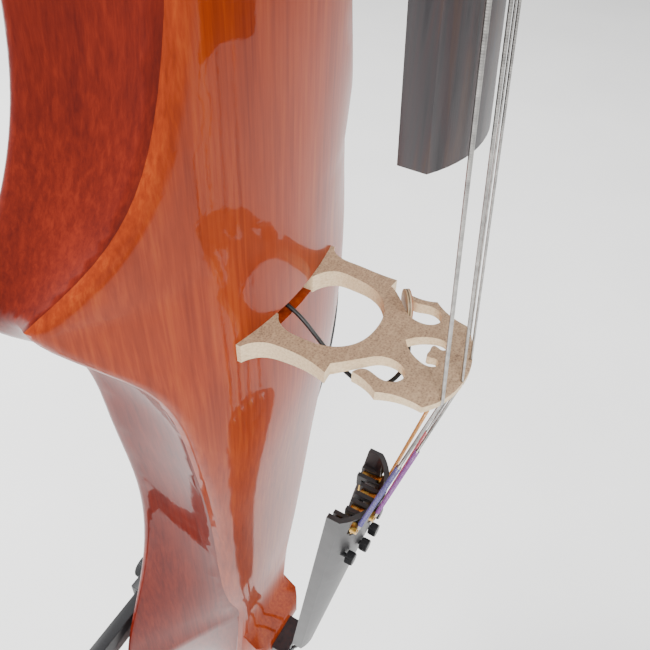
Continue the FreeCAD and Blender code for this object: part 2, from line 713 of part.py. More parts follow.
# ------------------------------------------------------------------ pegs
def peg_shape(place_of_string):
    """Tapered shaft, collar, neck and an oval thumb piece, from its wide end inwards."""
    half = pegbox.half(place_of_string.peg_along)
    inward = Vector(-1, 0, 0)
    wall_start = pegbox.at(half + 2, place_of_string.peg_along, peg_depth)
    shaft = Part.makeCone(peg_shaft_wide, peg_shaft_thin, 2 * half + 2 + peg_reach_out, wall_start, inward)
    collar_thick, stem_long, head_long, head_half, head_thick = 4.0, 9.0, 30.0, 13.0, 8.0
    collar = Part.makeCylinder(8.6, collar_thick, wall_start - inward * collar_thick, inward)
    stem = Part.makeCone(4.6, 5.6, stem_long + 2, wall_start - inward * (collar_thick + stem_long), inward)
    head_centre = wall_start - inward * (collar_thick + stem_long + head_long / 2 - 2)
    head = Part.makeSphere(1.0)
    stretch = FreeCAD.Matrix()
    stretch.scale(head_long / 2, head_thick / 2, head_half)
    head = head.transformGeometry(stretch)
    head.rotate(Vector(), Vector(1, 0, 0), -number("pegbox_tilt"))
    head.translate(head_centre)
    tip = Part.makeSphere(2.2, head_centre - inward * (head_long / 2 - 0.4))
    peg = shaft.fuse([collar, stem, head, tip])
    return peg.mirror(Vector(), Vector(1, 0, 0)) if place_of_string.side < 0 else peg


for place_of_string in strings:
    letter = place_of_string.letter
    keep(shaped("Peg" + letter.upper(), peg_shape(place_of_string)), "peg_" + letter)


# ------------------------------------------------------------------ bridge
def bridge_outline(shift):
    """Edges of the outline, bass foot to crown to treble foot, closed under the arch."""
    belly_sink = -7.0

    def at(across, rise):
        return spot(across, rise, -10.0)

    def leg(side):
        foot = [at(side * 46.5, belly_sink), at(side * 46.5, -2.6)]
        ankle = [at(side * 46.5, -2.6), at(side * 42.6, -0.4), at(side * 39.0 + shift / 2, 5.0),
                 at(side * 37.8 + shift, 15.0), at(side * 37.8 + shift, 27.0), at(side * 39.6 + shift / 2, 39.2)]
        return foot, ankle

    bass_foot, bass_ankle = leg(-1)
    treble_foot, treble_ankle = leg(1)
    wing_hook = {-1: at(-31.2, 49.7), 1: at(33.8, 50.6)}
    wing_tip = {-1: at(-36.3, 64.2), 1: at(36.6, 64.6)}
    crown_end = {-1: at(-32.8, 86.2), 1: at(28.4, 84.0)}

    def kidney(side):
        """From the ankle's inner corner round the kidney to the wing's hook."""
        return smooth([at(side * 33.2 + shift / 2, 38.6), at(side * 27.6 + shift, 45.2),
                       at(side * 21.6 + shift, 51.0), at(side * 16.6 + shift, 57.0), at(side * 15.4 + shift, 62.5),
                       at(side * 17.4 + shift, 69.0), at(side * 23.0 + shift, 71.8), at(side * 28.0 + shift, 69.0),
                       at(side * 29.6 + shift, 62.5), at(side * 28.0 + shift, 56.0), wing_hook[side]])

    def wing(side):
        return [arc(wing_hook[side], (wing_hook[side] + wing_tip[side]) * 0.5 - Vector(side * 1.2, 0, 0),
                    wing_tip[side]),
                arc(wing_tip[side], (wing_tip[side] + crown_end[side]) * 0.5 - Vector(side * 1.9, 0, 0),
                    crown_end[side])]

    arch_foot = {side: at(side * 17.2, belly_sink) for side in (-1, 1)}
    arch = smooth([at(-17.2, 0.2), at(-21.5 + shift / 2, 2.4), at(-26.6 + shift, 9.0), at(-27.3 + shift, 19.0),
                   at(-25.2 + shift, 31.5), at(-15.8 + shift, 42.6), at(shift, 46.3), at(15.8 + shift, 42.6),
                   at(25.2 + shift, 31.5), at(27.3 + shift, 19.0), at(26.6 + shift, 9.0), at(21.5 + shift / 2, 2.4),
                   at(17.2, 0.2)])
    crown = smooth([crown_end[-1], at(-23.5, 92.6), at(-7.8, 96.6), at(3.0, 96.2), at(14.0, 92.9), at(23.5, 88.2),
                    crown_end[1]])
    edges = [line(*bass_foot), smooth(bass_ankle), line(bass_ankle[-1], at(-33.2 + shift / 2, 38.6)), kidney(-1)]
    edges += wing(-1) + [crown] + wing(1)
    edges += [kidney(1), line(treble_ankle[-1], at(33.2 + shift / 2, 38.6)), smooth(treble_ankle)]
    edges += [line(*treble_foot), line(treble_foot[0], arch_foot[1]), line(arch_foot[1], at(17.2, 0.2)), arch,
              line(arch_foot[-1], at(-17.2, 0.2)), line(arch_foot[-1], bass_foot[0])]
    return edges


def heart_edges(centre):
    def at(across, rise):
        return spot(centre + across, rise, -10.0)

    def side_of(side):
        return smooth([at(0, 62.0), at(side * 5.6, 67.0), at(side * 9.4, 74.0), at(side * 9.8, 79.0),
                       at(side * 6.8, 82.2), at(side * 3.6, 80.2), at(side * 4.3, 76.6), at(0, 75.2)])

    return [side_of(1), side_of(-1)]


def bridge_shape():
    reach = Vector(0, 0, 20.0)
    shift = number("bridge_shift")
    blank = extruded(bridge_outline(shift), reach).cut(extruded(heart_edges(shift), reach))
    foot, crown, top = number("foot_thick") / 2, number("crown_thick") / 2, 98.0
    wedge_corners = [spot(-60, -8, -foot), spot(-60, -8, foot), spot(-60, top, crown), spot(-60, top, -crown)]
    wedge = extruded([line(a, b) for a, b in zip(wedge_corners, wedge_corners[1:] + wedge_corners[:1])],
                     Vector(120, 0, 0))
    bridge = blank.common(wedge)
    for place_of_string in strings:
        bridge = bridge.cut(string_line(place_of_string, place_of_string.radius + number("running")))
    return bridge


doc.recompute()
bridge = keep(shaped("Bridge", bridge_shape().cut([belly_plate.Shape, body_core.Shape])), "bridge")


# ------------------------------------------------------------------ strings
# Each string runs straight from its tuner over the bridge and the nut to its peg.  A silk wrap
# covers the end below the bridge.
def tail_share(up):
    return (number("tail_head_up") - up) / (number("tail_head_up") - number("tail_end_up"))


def tail_half(up):
    share = tail_share(up)
    return number("tail_head_half") * (1 - share) + number("tail_end_half") * share


def tail_crest(up):
    share = tail_share(up)
    return number("tail_head_rise") * (1 - share) + number("tail_end_rise") * share


def tail_arch(up):
    share = tail_share(up)
    return number("tail_head_edge") * (1 - share) + number("tail_end_edge") * share


def tail_rise(up, across):
    """The tailpiece's arched surface at this place."""
    half, arch = tail_half(up), tail_arch(up)
    radius = (half ** 2 + arch ** 2) / (2 * arch)
    return tail_crest(up) - radius + math.sqrt(radius ** 2 - across ** 2)


class Tuner:
    """One string's fine tuner: its hook, pivot and screw places."""

    def __init__(self, string):
        self.x = string.bridge_x * 0.85
        self.hook_up = number("tail_head_up") - 14.0
        self.hook_rise = tail_rise(self.hook_up, self.x) + 1.8
        self.pivot_up = self.hook_up - 4.0
        self.pivot_rise = self.hook_rise - 14.0
        self.screw_up = self.pivot_up - number("lever_reach")
        self.arm_rise = self.pivot_rise - 5.0

    def hook(self):
        return spot(self.x, self.hook_rise, self.hook_up)


ball_radius = 2.2


def string_shape(string, tuner):
    """Runs from the ball on the tuner over the bridge and the nut to the peg, with a small bend at each."""
    peg_point = pegbox.at(string.nut_x * 0.62, string.peg_along - 0.5,
                          peg_depth - (peg_shaft_wide + peg_shaft_thin) / 2 - string.radius - 0.25)
    run = string.over_nut() - string.over_bridge()
    behind_nut = string.over_nut() + run * ((number("nut_long") + 0.5) / run.z)
    stops = [tuner.hook() + Vector(0, 0, ball_radius), string.over_bridge(), behind_nut, peg_point]
    solids = []
    for start, end in zip(stops, stops[1:]):
        solids.append(Part.makeCylinder(string.radius, (end - start).Length, start, end - start))
    solids += [Part.makeSphere(string.radius, stop) for stop in stops[1:-1]]
    silk_share = number("silk_start") / -tuner.hook_up
    silk_top = stops[1] + (stops[0] - stops[1]) * silk_share
    solids.append(Part.makeCylinder(string.radius + number("silk_extra"), (silk_top - stops[0]).Length, stops[0],
                                    silk_top - stops[0]))
    solids.append(Part.makeSphere(ball_radius, tuner.hook()))
    return solids[0].fuse(solids[1:])


# The string bends over the bridge and drops to the tailpiece, so the notch follows both runs.
tuners = {string.letter: Tuner(string) for string in strings}
string_shapes = {string.letter: string_shape(string, tuners[string.letter]) for string in strings}
for string in strings:
    keep(shaped("String" + string.letter.upper(), string_shapes[string.letter]), "string_" + string.letter)
tail_notches = []
for string in strings:
    start, end = string.over_bridge(), tuners[string.letter].hook()
    tail_notches.append(Part.makeCylinder(string.radius + number("running"), 12.0, start, end - start))
    tail_notches.append(Part.makeSphere(string.radius + number("running"), start))
bridge.Shape = bridge.Shape.cut(tail_notches).cut(list(string_shapes.values()))


# ------------------------------------------------------------------ tailpiece and fine tuners
def tail_section(up, inset, floor_lift):
    """The arched section, inset by a wall, with its flat underside lifted by floor_lift."""
    half, crest_rise = tail_half(up) - inset, tail_crest(up) - inset
    edge_rise = tail_crest(up) - tail_arch(up) - inset * 0.4
    under = tail_crest(up) - tail_arch(up) - tail_lip + floor_lift
    return closed(line(spot(-half, under, up), spot(-half, edge_rise, up)),
                  arc(spot(-half, edge_rise, up), spot(0, crest_rise, up), spot(half, edge_rise, up)),
                  line(spot(half, edge_rise, up), spot(half, under, up)),
                  line(spot(half, under, up), spot(-half, under, up)))


tail_lip = 9.0


def tailpiece_shape():
    head, end = number("tail_head_up"), number("tail_end_up")
    wall = number("tail_thick")
    solid = Part.makeLoft([tail_section(head, 0, 0), tail_section(end, 0, 0)], True, True)
    low = number("tail_hollow_low")
    hollow = Part.makeLoft([tail_section(head + 1, wall, -9), tail_section(low, wall, -9)], True, True)
    lug_wide = 3.0
    clear = 0.35
    for tuner in tuners.values():
        reach = number("lever_thick") / 2 + clear
        lug = Part.makeBox(2 * (reach + lug_wide), 18, 10,
                           spot(tuner.x - reach - lug_wide, tuner.pivot_rise + 13, tuner.pivot_up - 5))
        channel = Part.makeBox(2 * reach, 22, 12, spot(tuner.x - reach, tuner.pivot_rise + 14, tuner.pivot_up - 6))
        hollow = hollow.cut(lug.cut(channel))
    solid = solid.cut(hollow)
    for tuner in tuners.values():
        reach = number("lever_thick") / 2 + clear
        slot = Part.makeBox(2 * reach, 30, 16, spot(tuner.x - reach, tuner.hook_rise + 12, tuner.hook_up - 9))
        mouth_half = ball_radius + 1.8
        mouth = Part.makeBox(2 * mouth_half, 10, 18,
                             spot(tuner.x - mouth_half, tuner.hook_rise + 4.4, tuner.hook_up - 5))
        pin_hole = Part.makeCylinder(number("pivot_radius"), 2 * (reach + lug_wide),
                                     spot(tuner.x - reach - lug_wide, tuner.pivot_rise, tuner.pivot_up), Vector(1, 0, 0))
        screw_hole = Part.makeCylinder(number("tuner_screw_radius") + number("running"), 60,
                                       spot(tuner.x, tuner.arm_rise - 4, tuner.screw_up), Vector(0, -1, 0))
        solid = solid.cut([slot, mouth, pin_hole, screw_hole])
    for side in (-1, 1):
        gut_hole = Part.makeCylinder(number("gut_radius"), 16, spot(side * gut_half, gut_rise, end - 1),
                                     Vector(0, 0, 1))
        solid = solid.cut(gut_hole)
    return solid


gut_half = 7.0
gut_rise = number("tail_end_rise") - number("tail_end_edge") - 0.5


def lever_shape(tuner, letter):
    """An L: a fork that holds the string's ball, a boss on the pivot and an arm to the screw."""
    half = number("lever_thick") / 2
    pivot, hook = (tuner.pivot_rise, tuner.pivot_up), (tuner.hook_rise, tuner.hook_up)
    outline = [(pivot[0] - 3.2, pivot[1] + 3.0), (pivot[0] - 3.6, pivot[1] - 4.0),
               (tuner.arm_rise - 1.6, tuner.screw_up - 4), (tuner.arm_rise + 1.6, tuner.screw_up - 4),
               (pivot[0] + 2.2, pivot[1] - 5.0), (hook[0] - 3.4, hook[1] - 5.6),
               (hook[0] - 3.4, hook[1] + 1.8), (pivot[0] + 3.2, pivot[1] + 3.0)]
    corners = [spot(tuner.x - half, rise, up) for rise, up in outline]
    plate = extruded([line(a, b) for a, b in zip(corners, corners[1:] + corners[:1])], Vector(2 * half, 0, 0))
    cup_radius = ball_radius + 1.3
    cup = Part.makeCylinder(cup_radius, 4.2, spot(tuner.x, tuner.hook_rise - 4.2, tuner.hook_up), Vector(0, -1, 0))
    cup = cup.cut(Part.makeSphere(ball_radius + 0.05, tuner.hook()))
    hole = Part.makeCylinder(number("pivot_radius") + number("running"), 2 * half + 2,
                             spot(tuner.x - half - 1, pivot[0], pivot[1]), Vector(1, 0, 0))
    return plate.fuse(cup).cut(hole).cut(string_shapes[letter])


def tuner_screw_shape(tuner):
    """Shank down to the lever's arm, with a knurled head on the tailpiece."""
    head_radius, head_tall, head_lift = 4.2, 5.5, 0.6
    slope = (tuner.pivot_rise - tuner.arm_rise + 0.6) / (number("lever_reach") - 1)
    tip_rise = tuner.arm_rise + 1.6 + slope * (4 + number("tuner_screw_radius")) + 0.08
    seat = tail_rise(tuner.screw_up, max(0, abs(tuner.x) - head_radius)) + head_lift
    shank = Part.makeCylinder(number("tuner_screw_radius"), seat - tip_rise + 1, spot(tuner.x, tip_rise, tuner.screw_up),
                              Vector(0, -1, 0))
    head = Part.makeCylinder(head_radius, head_tall, spot(tuner.x, seat, tuner.screw_up), Vector(0, -1, 0))
    grooves = [Part.makeCylinder(0.45, head_tall + 2,
                                 spot(tuner.x + head_radius * math.cos(step * math.pi / 8), seat - 1,
                                      tuner.screw_up + head_radius * math.sin(step * math.pi / 8)), Vector(0, -1, 0))
               for step in range(16)]
    return shank.fuse(head.cut(grooves))


tailpiece = keep(shaped("Tailpiece", tailpiece_shape()), "tailpiece")
pivot_pins = []
for letter, tuner in tuners.items():
    keep(shaped("TunerLever" + letter.upper(), lever_shape(tuner, letter)), "tuner_lever_" + letter)
    keep(shaped("TunerScrew" + letter.upper(), tuner_screw_shape(tuner)), "tuner_screw_" + letter)
    pin_half = number("lever_thick") / 2 + 2.6
    pivot_pins.append(Part.makeCylinder(number("pivot_radius"), 2 * pin_half,
                                        spot(tuner.x - pin_half, tuner.pivot_rise, tuner.pivot_up), Vector(1, 0, 0)))
keep(shaped("TunerPivots", Part.makeCompound(pivot_pins)), "tuner_pivots")


# ------------------------------------------------------------------ saddle, tailgut and endpin
saddle_drop = "saddle_rise - block_rise"
saddle = box("Saddle", "2 * saddle_half", saddle_drop, "saddle_long", "0", "saddle_rise", "-body_below - 0.5")
doc.recompute()


def tailgut_shape():
    """A loop from the tailpiece's two holes over the saddle and round the endpin's collar."""
    gut = number("gut_radius")
    bottom = -number("body_below")
    wrap_radius = number("collar_radius") + gut + 0.5
    end_up = bottom - gut - 0.15
    saddle_top = number("saddle_rise") + gut + 0.1
    axis_rise = -number("belly_front")
    over = bottom - gut - 0.65
    halves = []
    for side in (-1, 1):
        start = spot(side * gut_half, gut_rise, number("tail_end_up"))
        crest_point = spot(side * (gut_half + 1), saddle_top + 1.2, bottom + number("saddle_long") + 0.5)
        edge = spot(side * (gut_half + 1.2), saddle_top - 0.1, over)
        low = spot(side * wrap_radius, axis_rise, end_up - 0.5)
        halves.append([start, crest_point, edge, low])
    left, right = halves
    solids = []
    for stops in halves:
        for a, b in zip(stops, stops[1:]):
            solids.append(Part.makeCylinder(gut, (b - a).Length, a, b - a))
        solids += [Part.makeSphere(gut, stop) for stop in stops[1:]]
    solids.append(Part.makeCylinder(gut, 14, right[0], Vector(0, 0, 1)))
    solids.append(Part.makeCylinder(gut, 14, left[0], Vector(0, 0, 1)))
    solids.append(Part.makeTorus(wrap_radius, gut, spot(0, axis_rise, end_up - 0.5), Vector(0, 0, 1),
                                 0, 360, 180))
    return solids[0].fuse(solids[1:])


tailgut = keep(shaped("Tailgut", tailgut_shape()), "tailgut")
tailpiece.Shape = tailpiece.Shape.cut(tailgut.Shape)
saddle_cut = cut("SaddleWithGrooves", saddle, tailgut)
keep(saddle_cut, "saddle")

collar_outline = [
    ("rod_radius + running", "-collar_out"), ("collar_radius", "-collar_out"), ("collar_radius", "0"),
    ("sleeve_radius", "0"), ("sleeve_radius", "sleeve_long"), ("rod_radius + running", "sleeve_long"),
]
collar_blank = turned("EndpinCollar", collar_outline, "0", "-belly_front", "-body_below")
lock_up = "-body_below - collar_out + 7"
lock_hole = primitive("Cylinder", "LockHole", {"Radius": "screw_radius", "Height": "40"},
                      "0", "-belly_front", lock_up, Vector(1, 0, 0))
keep(cut("CollarDrilled", collar_blank, lock_hole), "endpin_collar")
rod = cylinder("EndpinRod", "rod_radius", "rod_long - tip_long", "0", "-belly_front",
                            "tip_long - bridge_up")
keep(rod, "endpin_rod")
tip_outline = [("0", "0"), ("0.8", "0.6"), ("ferrule_radius - 1", "tip_long * 0.4"), ("ferrule_radius", "tip_long * 0.5"),
               ("ferrule_radius", "tip_long"), ("0", "tip_long")]
keep(turned("EndpinTip", tip_outline, "0", "-belly_front", "-bridge_up"), "endpin_tip")


def thumbscrew(name, node, across, rise, up, axis, shank, barrel="8"):
    """A wing-less knurled thumbscrew whose tip is at the place given and whose head is outwards."""
    outline = [("0", "0"), ("screw_radius - running", "0"), ("screw_radius - running", shank), ("head_radius", shank),
               ("head_radius", "(%s) + (%s)" % (shank, barrel)), ("0", "(%s) + (%s)" % (shank, barrel))]
    blank = turned(name, outline, across, rise, up, axis)
    return keep(blank, node)


thumbscrew("EndpinScrew", "endpin_screw", "rod_radius + 0.1", "-belly_front", lock_up, Vector(1, 0, 0),
           "collar_radius - rod_radius + 2.4")


# ------------------------------------------------------------------ wood screws
def countersunk(across, rise, up, length):
    """A countersunk wood screw driven forwards from the back; its head's face is at the place given."""
    head, shank = 3.4, 1.7
    ahead = Vector(0, -1, 0)
    start = spot(across, rise, up)
    cone = Part.makeCone(head, shank, head - shank, start, ahead)
    return cone.fuse(Part.makeCylinder(shank, length, start + ahead * (head - shank), ahead)).removeSplitter()


flange_reach = 10.0
flange_face = -number("body_depth") - number("bracket_wall")
wood_screw_long = 14.0
knee_block_half = number("arm_wide") / 2 + number("bracket_wall") + number("gap")
knee_middle = number("bracket_inner") + number("bracket_long") / 2
chest_block_half = 18.0
chest_middle_up = number("chest_bracket_up") + chest_block_half
bracket_screw_shapes = [
    countersunk(side * knee_middle + offset, flange_face, number("arm_up") + edge * (knee_block_half + 5.0),
                wood_screw_long)
    for side in (-1, 1) for offset in (-15.0, 15.0) for edge in (-1, 1)]
bracket_screw_shapes += [
    countersunk(side * (chest_block_half + 5.0), flange_face, chest_middle_up + edge * 11.0, wood_screw_long)
    for side in (-1, 1) for edge in (-1, 1)]
bracket_screws = keep(shaped("BracketScrews", Part.makeCompound(bracket_screw_shapes)), "bracket_screws")


# ------------------------------------------------------------------ knee supports
# Each is a curved band on the lower bout's circle, on an arm that slides in a bracket on the back.
arm_front = "-body_depth - bracket_wall - gap"


def ring_slice(outer, inner, low_angle, high_angle, side, deep, front_rise):
    """A slice of a flat ring about the supports' centre, on one side of the body."""
    centre_up = number("support_centre_up")

    def on_ring(radius, degrees):
        angle = math.radians(degrees)
        return spot(side * radius * math.cos(angle), front_rise, centre_up + radius * math.sin(angle))

    middle = (low_angle + high_angle) / 2
    edges = [arc(on_ring(outer, low_angle), on_ring(outer, middle), on_ring(outer, high_angle)),
             line(on_ring(outer, high_angle), on_ring(inner, high_angle)),
             arc(on_ring(inner, high_angle), on_ring(inner, middle), on_ring(inner, low_angle)),
             line(on_ring(inner, low_angle), on_ring(outer, low_angle))]
    return extruded(edges, Vector(0, deep, 0))


def knee_arm_shape(side):
    radius = number("support_radius") - number("pad_thick")
    front = number(arm_front)
    band = ring_slice(radius, radius - number("support_band"), number("support_low_angle"),
                      number("support_top_angle"), side, number("support_deep"), front + 2)
    arm_low = number("arm_up") - number("arm_wide") / 2
    reach = math.sqrt((radius - 4) ** 2 - (arm_low - number("support_centre_up")) ** 2)
    inner = number("arm_inner")
    start = min(side * inner, side * reach)
    arm = Part.makeBox(reach - inner, number("arm_thick"), number("arm_wide"), spot(start, front, arm_low))
    return band.fuse(arm).removeSplitter()


def knee_bracket(side, name):
    """A block on the back with a through socket for the arm and a hole for its lock screw."""
    middle = "%d * (bracket_inner + bracket_long / 2)" % side
    tall = "arm_wide + 2 * bracket_wall + 2 * gap"
    deep = "arm_thick + 2 * bracket_wall + 2 * gap"
    block = box(name + "Block", "bracket_long", deep, tall, middle, "-body_depth", "arm_up - (%s) / 2" % tall)
    socket = box(name + "Socket", "bracket_long + 2", "arm_thick + 2 * gap", "arm_wide + 2 * gap", middle,
                 "-body_depth - bracket_wall", "arm_up - arm_wide / 2 - gap")
    flange = box(name + "Flange", "bracket_long", "bracket_wall", "(%s) + 2 * %g" % (tall, flange_reach), middle,
                 "-body_depth", "arm_up - (%s) / 2 - %g" % (tall, flange_reach))
    lock = cylinder(name + "Lock", "screw_radius", "30", middle, "-body_depth - bracket_wall - arm_thick", "arm_up",
                    Vector(0, 1, 0))
    return cut(name, fuse(name + "Body", block, flange), socket, lock, bracket_screws), middle


for side, name in ((-1, "left"), (1, "right")):
    bracket, middle = knee_bracket(side, "KneeBracket" + name.title())
    keep(bracket, "knee_bracket_" + name)
    keep(shaped("KneeArm" + name.title(), knee_arm_shape(side)), "knee_arm_" + name)
    pad_radius = number("support_radius")
    keep(shaped("KneePad" + name.title(),
                ring_slice(pad_radius, pad_radius - number("pad_thick"), number("support_low_angle") + 2,
                           number("support_top_angle") - 2, side, number("support_deep"), number(arm_front) + 2)),
         "knee_pad_" + name)
    thumbscrew("KneeScrew" + name.title(), "knee_screw_" + name, middle,
               "-body_depth - bracket_wall - arm_thick - gap - 0.1", "arm_up", Vector(0, 1, 0), "bracket_wall + gap + 3")


# ------------------------------------------------------------------ chest support
chest_deep, chest_lock_rise = 26.0, "-body_depth - 16"
chest_middle = "chest_bracket_up + %g" % chest_block_half
chest_block = box("ChestBlock", 2 * chest_block_half, chest_deep, 2 * chest_block_half, "0", "-body_depth",
                  "chest_bracket_up")
chest_flange = box("ChestFlange", 2 * (chest_block_half + flange_reach), "bracket_wall", 2 * chest_block_half, "0",
                   "-body_depth", "chest_bracket_up")
post_well = cylinder("PostWell", "post_radius + running", "post_room", "0", "post_room - body_depth", chest_middle,
                     Vector(0, 1, 0))
post_socket = cylinder("PostSocket", "post_radius + running", "40", "0", "1 - body_depth", chest_middle,
                       Vector(0, 1, 0))
chest_lock = cylinder("ChestLock", "screw_radius", "30", "0", chest_lock_rise, chest_middle, Vector(1, 0, 0))
keep(cut("ChestBracket", fuse("ChestBody", chest_block, chest_flange), post_socket, chest_lock, bracket_screws),
     "chest_bracket")
keep(cylinder("ChestPost", "post_radius", "post_long", "0", "-body_depth - 3", chest_middle, Vector(0, 1, 0)),
     "chest_post")
thumbscrew("ChestScrew", "chest_screw", "post_radius + 0.1", chest_lock_rise, chest_middle, Vector(1, 0, 0),
           "%g - post_radius + 2" % chest_block_half)


def chest_pad_shape():
    """A pad curved round the chest, across the end of the post."""
    half, tall, thick = number("chest_pad_half"), number("chest_pad_tall"), number("chest_pad_thick")
    front = -number("body_depth") - 3 - number("post_long")
    low = chest_middle_up - tall / 2
    sag = 9.0
    edges = [arc(spot(-half, front - sag, low), spot(0, front, low), spot(half, front - sag, low)),
             line(spot(half, front - sag, low), spot(half - 3, front - sag - thick, low)),
             arc(spot(half - 3, front - sag - thick, low), spot(0, front - thick, low),
                 spot(3 - half, front - sag - thick, low)),
             line(spot(3 - half, front - sag - thick, low), spot(-half, front - sag, low))]
    return extruded(edges, Vector(0, 0, tall))


keep(shaped("ChestPad", chest_pad_shape()), "chest_pad")


# ------------------------------------------------------------------ control plate and its electronics
# The plate lies flush in the back.  Its inner face carries the controls and the circuit board.
inner = "panel_thick - body_depth"
outward = Vector(0, 1, 0)
knob_places = {"volume_knob": ("-control_across", "upper_control_up"), "tone_knob": ("-control_across", "lower_control_up")}
plate_outline = [("-panel_half", "-panel_low"), ("panel_half", "-panel_low"), ("panel_half", "panel_top"),
                 ("-panel_half", "panel_top")]
plate_blank = padded("ControlPlateBlank", plate_outline, "panel_thick", "0", inner, "0")
bushing_radius, jack_barrel, phones_barrel = 3.8, 5.2, 3.0
drawer_half, drawer_tall, drawer_low = 26.5, 30.0, -38.0
switch_up, switch_wide, switch_tall = "(upper_control_up + lower_control_up) / 2", 12.0, 3.6
openings = []
for number_of, (across, up) in enumerate(knob_places.values()):
    openings.append(cylinder("BushingHole%d" % number_of, bushing_radius, "10", across, "4 - body_depth", up, outward))
openings.append(cylinder("JackHole", jack_barrel, "10", "control_across", "4 - body_depth", "upper_control_up", outward))
openings.append(cylinder("PhonesHole", phones_barrel, "10", "control_across", "4 - body_depth", "lower_control_up",
                         outward))
openings.append(box("SwitchSlot", switch_wide, "10", switch_tall, "0", "4 - body_depth",
                    "%s - %g" % (switch_up, switch_tall / 2)))
openings.append(box("DrawerHole", 2 * drawer_half, "10", drawer_tall, "0", "4 - body_depth", drawer_low))
panel_screw_shapes = [countersunk(side * (number("panel_half") - 3.2), -number("body_depth"), up, 9.0)
                      for side in (-1, 1) for up in (4.0 - number("panel_low"), number("panel_top") - 4.0)]
panel_screws = keep(shaped("PanelScrews", Part.makeCompound(panel_screw_shapes)), "panel_screws")
keep(cut("ControlPlate", plate_blank, panel_screws, *openings), "control_plate")

pot_deep, pot_half = 10.0, 8.0
pots = []
for number_of, (node, (across, up)) in enumerate(knob_places.items()):
    can = box("PotCan%d" % number_of, 2 * pot_half, pot_deep, 2 * pot_half, across, "%s + %g" % (inner, pot_deep),
              "%s - %g" % (up, pot_half))
    bushing = cylinder("PotBushing%d" % number_of, bushing_radius, "panel_thick + 1", across, inner, up, outward)
    shaft_hole = cylinder("PotHole%d" % number_of, "pot_shaft + running", "20", across, "%s + 8" % inner, up, outward)
    pots.append(cut("Potentiometer%d" % number_of, fuse("PotBody%d" % number_of, can, bushing), shaft_hole))
    knob_outline = [("0", "-8"), ("pot_shaft", "-8"), ("pot_shaft", "1.5"), ("knob_radius", "1.5"),
                    ("knob_radius - 1.2", "knob_tall"), ("0", "knob_tall")]
    knob = turned("Knob%d" % number_of, knob_outline, across, "-body_depth", up, outward)
    pointer = box("Pointer%d" % number_of, "1.2", "1.2", "knob_radius", across, "0.8 - body_depth - knob_tall", up)
    keep(cut("PointedKnob%d" % number_of, knob, pointer), node)
doc.recompute()
keep(shaped("Potentiometers", Part.makeCompound([pot.Shape for pot in pots])), "potentiometers")


def jack(name, node, bore, depth, barrel, up):
    """A threaded socket with a nut outside the plate and a blind bore."""
    nut_tall = 3.0
    body = cylinder(name + "Barrel", barrel, "%s + panel_thick + %g + 2" % (depth, -nut_tall), "control_across",
                    "%s + %s - %g - 2 + 4" % ("-body_depth", depth, nut_tall), up, outward)
    collar = cylinder(name + "Nut", "%g + 2" % barrel, nut_tall, "control_across", "-body_depth", up, outward)
    bore_hole = cylinder(name + "Bore", bore, depth, "control_across", "-body_depth - %g + %s" % (nut_tall, depth), up,
                         outward)
    return keep(cut(name, fuse(name + "Body", body, collar), bore_hole), node)


jack("OutputJack", "output_jack", "jack_radius", "jack_depth", jack_barrel, "upper_control_up")
jack("HeadphoneJack", "headphone_jack", "phones_radius", "phones_depth", phones_barrel, "lower_control_up")

board_deep, board_thick, board_half = 16.0, 1.6, 41.0
board_inner = "%s + %g" % (inner, board_deep + board_thick)
circuit_plate = box("CircuitPlate", 2 * board_half, board_thick, "50", "0", board_inner, "8")
jack_clear = cylinder("JackClear", jack_barrel + 0.5, "60", "control_across", "0 - body_depth + 50", "upper_control_up",
                      outward)
spacers = [cylinder("Spacer%d%d" % (side, up), "2.2", board_deep, "%g" % (side * 38.4), "%s + %g" % (inner, board_deep),
                    "%g" % up, outward) for side in (-1, 1) for up in (12.0, 54.0)]
switch_housing = box("SwitchHousing", "16", "9", "8", "0", "%s + %g" % (inner, board_deep), "%s - 4" % switch_up)
lead_socket = box("LeadSocket", "8", "5", "6", "-3", "%s + 5" % board_inner, "6")
chip = box("Chip", "12", "2.5", "10", "14", "%s + 2.5" % board_inner, "40")
keep(cut("CircuitBoard", fuse("CircuitBody", circuit_plate, switch_housing, lead_socket, chip, *spacers), jack_clear),
     "circuit_board")
switch_stem = box("SwitchStem", "3", "10.2", "3", "0", "%s + 6.7" % inner, "%s - 1.5" % switch_up)
keep(switch_stem, "mode_switch")

housing_wall, tray_wall, tray_gap, tray_deep = 1.5, 1.4, 0.3, 19.5
housing_outer = box("HousingOuter", 2 * drawer_half + 2 * housing_wall, tray_deep + housing_wall + tray_gap,
                    drawer_tall + 2 * housing_wall, "0", "%s + %g" % (inner, tray_deep + housing_wall + tray_gap),
                    drawer_low - housing_wall)
housing_inner = box("HousingInner", 2 * drawer_half, "40", drawer_tall, "0", "%s + %g" % (inner, tray_deep + tray_gap),
                    drawer_low)
keep(cut("BatteryHousing", housing_outer, housing_inner), "battery_housing")
tray_half = drawer_half - tray_gap
tray_low, tray_tall = drawer_low + tray_gap, drawer_tall - 2 * tray_gap
tray_outer = box("TrayOuter", 2 * tray_half, "%g + panel_thick" % (tray_deep - 0.5), tray_tall, "0",
                 "%s + %g" % (inner, tray_deep - 0.5), tray_low)
tray_inner = box("TrayInner", 2 * (tray_half - tray_wall), tray_deep - 0.5 - tray_wall + 1.0, tray_tall, "0",
                 "%s + %g" % (inner, tray_deep - 0.5 - tray_wall), tray_low + tray_wall)
drawer_face = box("DrawerFace", 2 * drawer_half + 6, "2.4", drawer_tall + 6, "0", "-body_depth - 0.05",
                  drawer_low - 3)
drawer_stem = box("DrawerStem", 2 * tray_half - 6, "1.0", tray_tall - 6, "0", "0.5 - body_depth", tray_low + 3)
keep(fuse("BatteryDrawer", cut("Tray", tray_outer, tray_inner), drawer_face, drawer_stem), "battery_drawer")
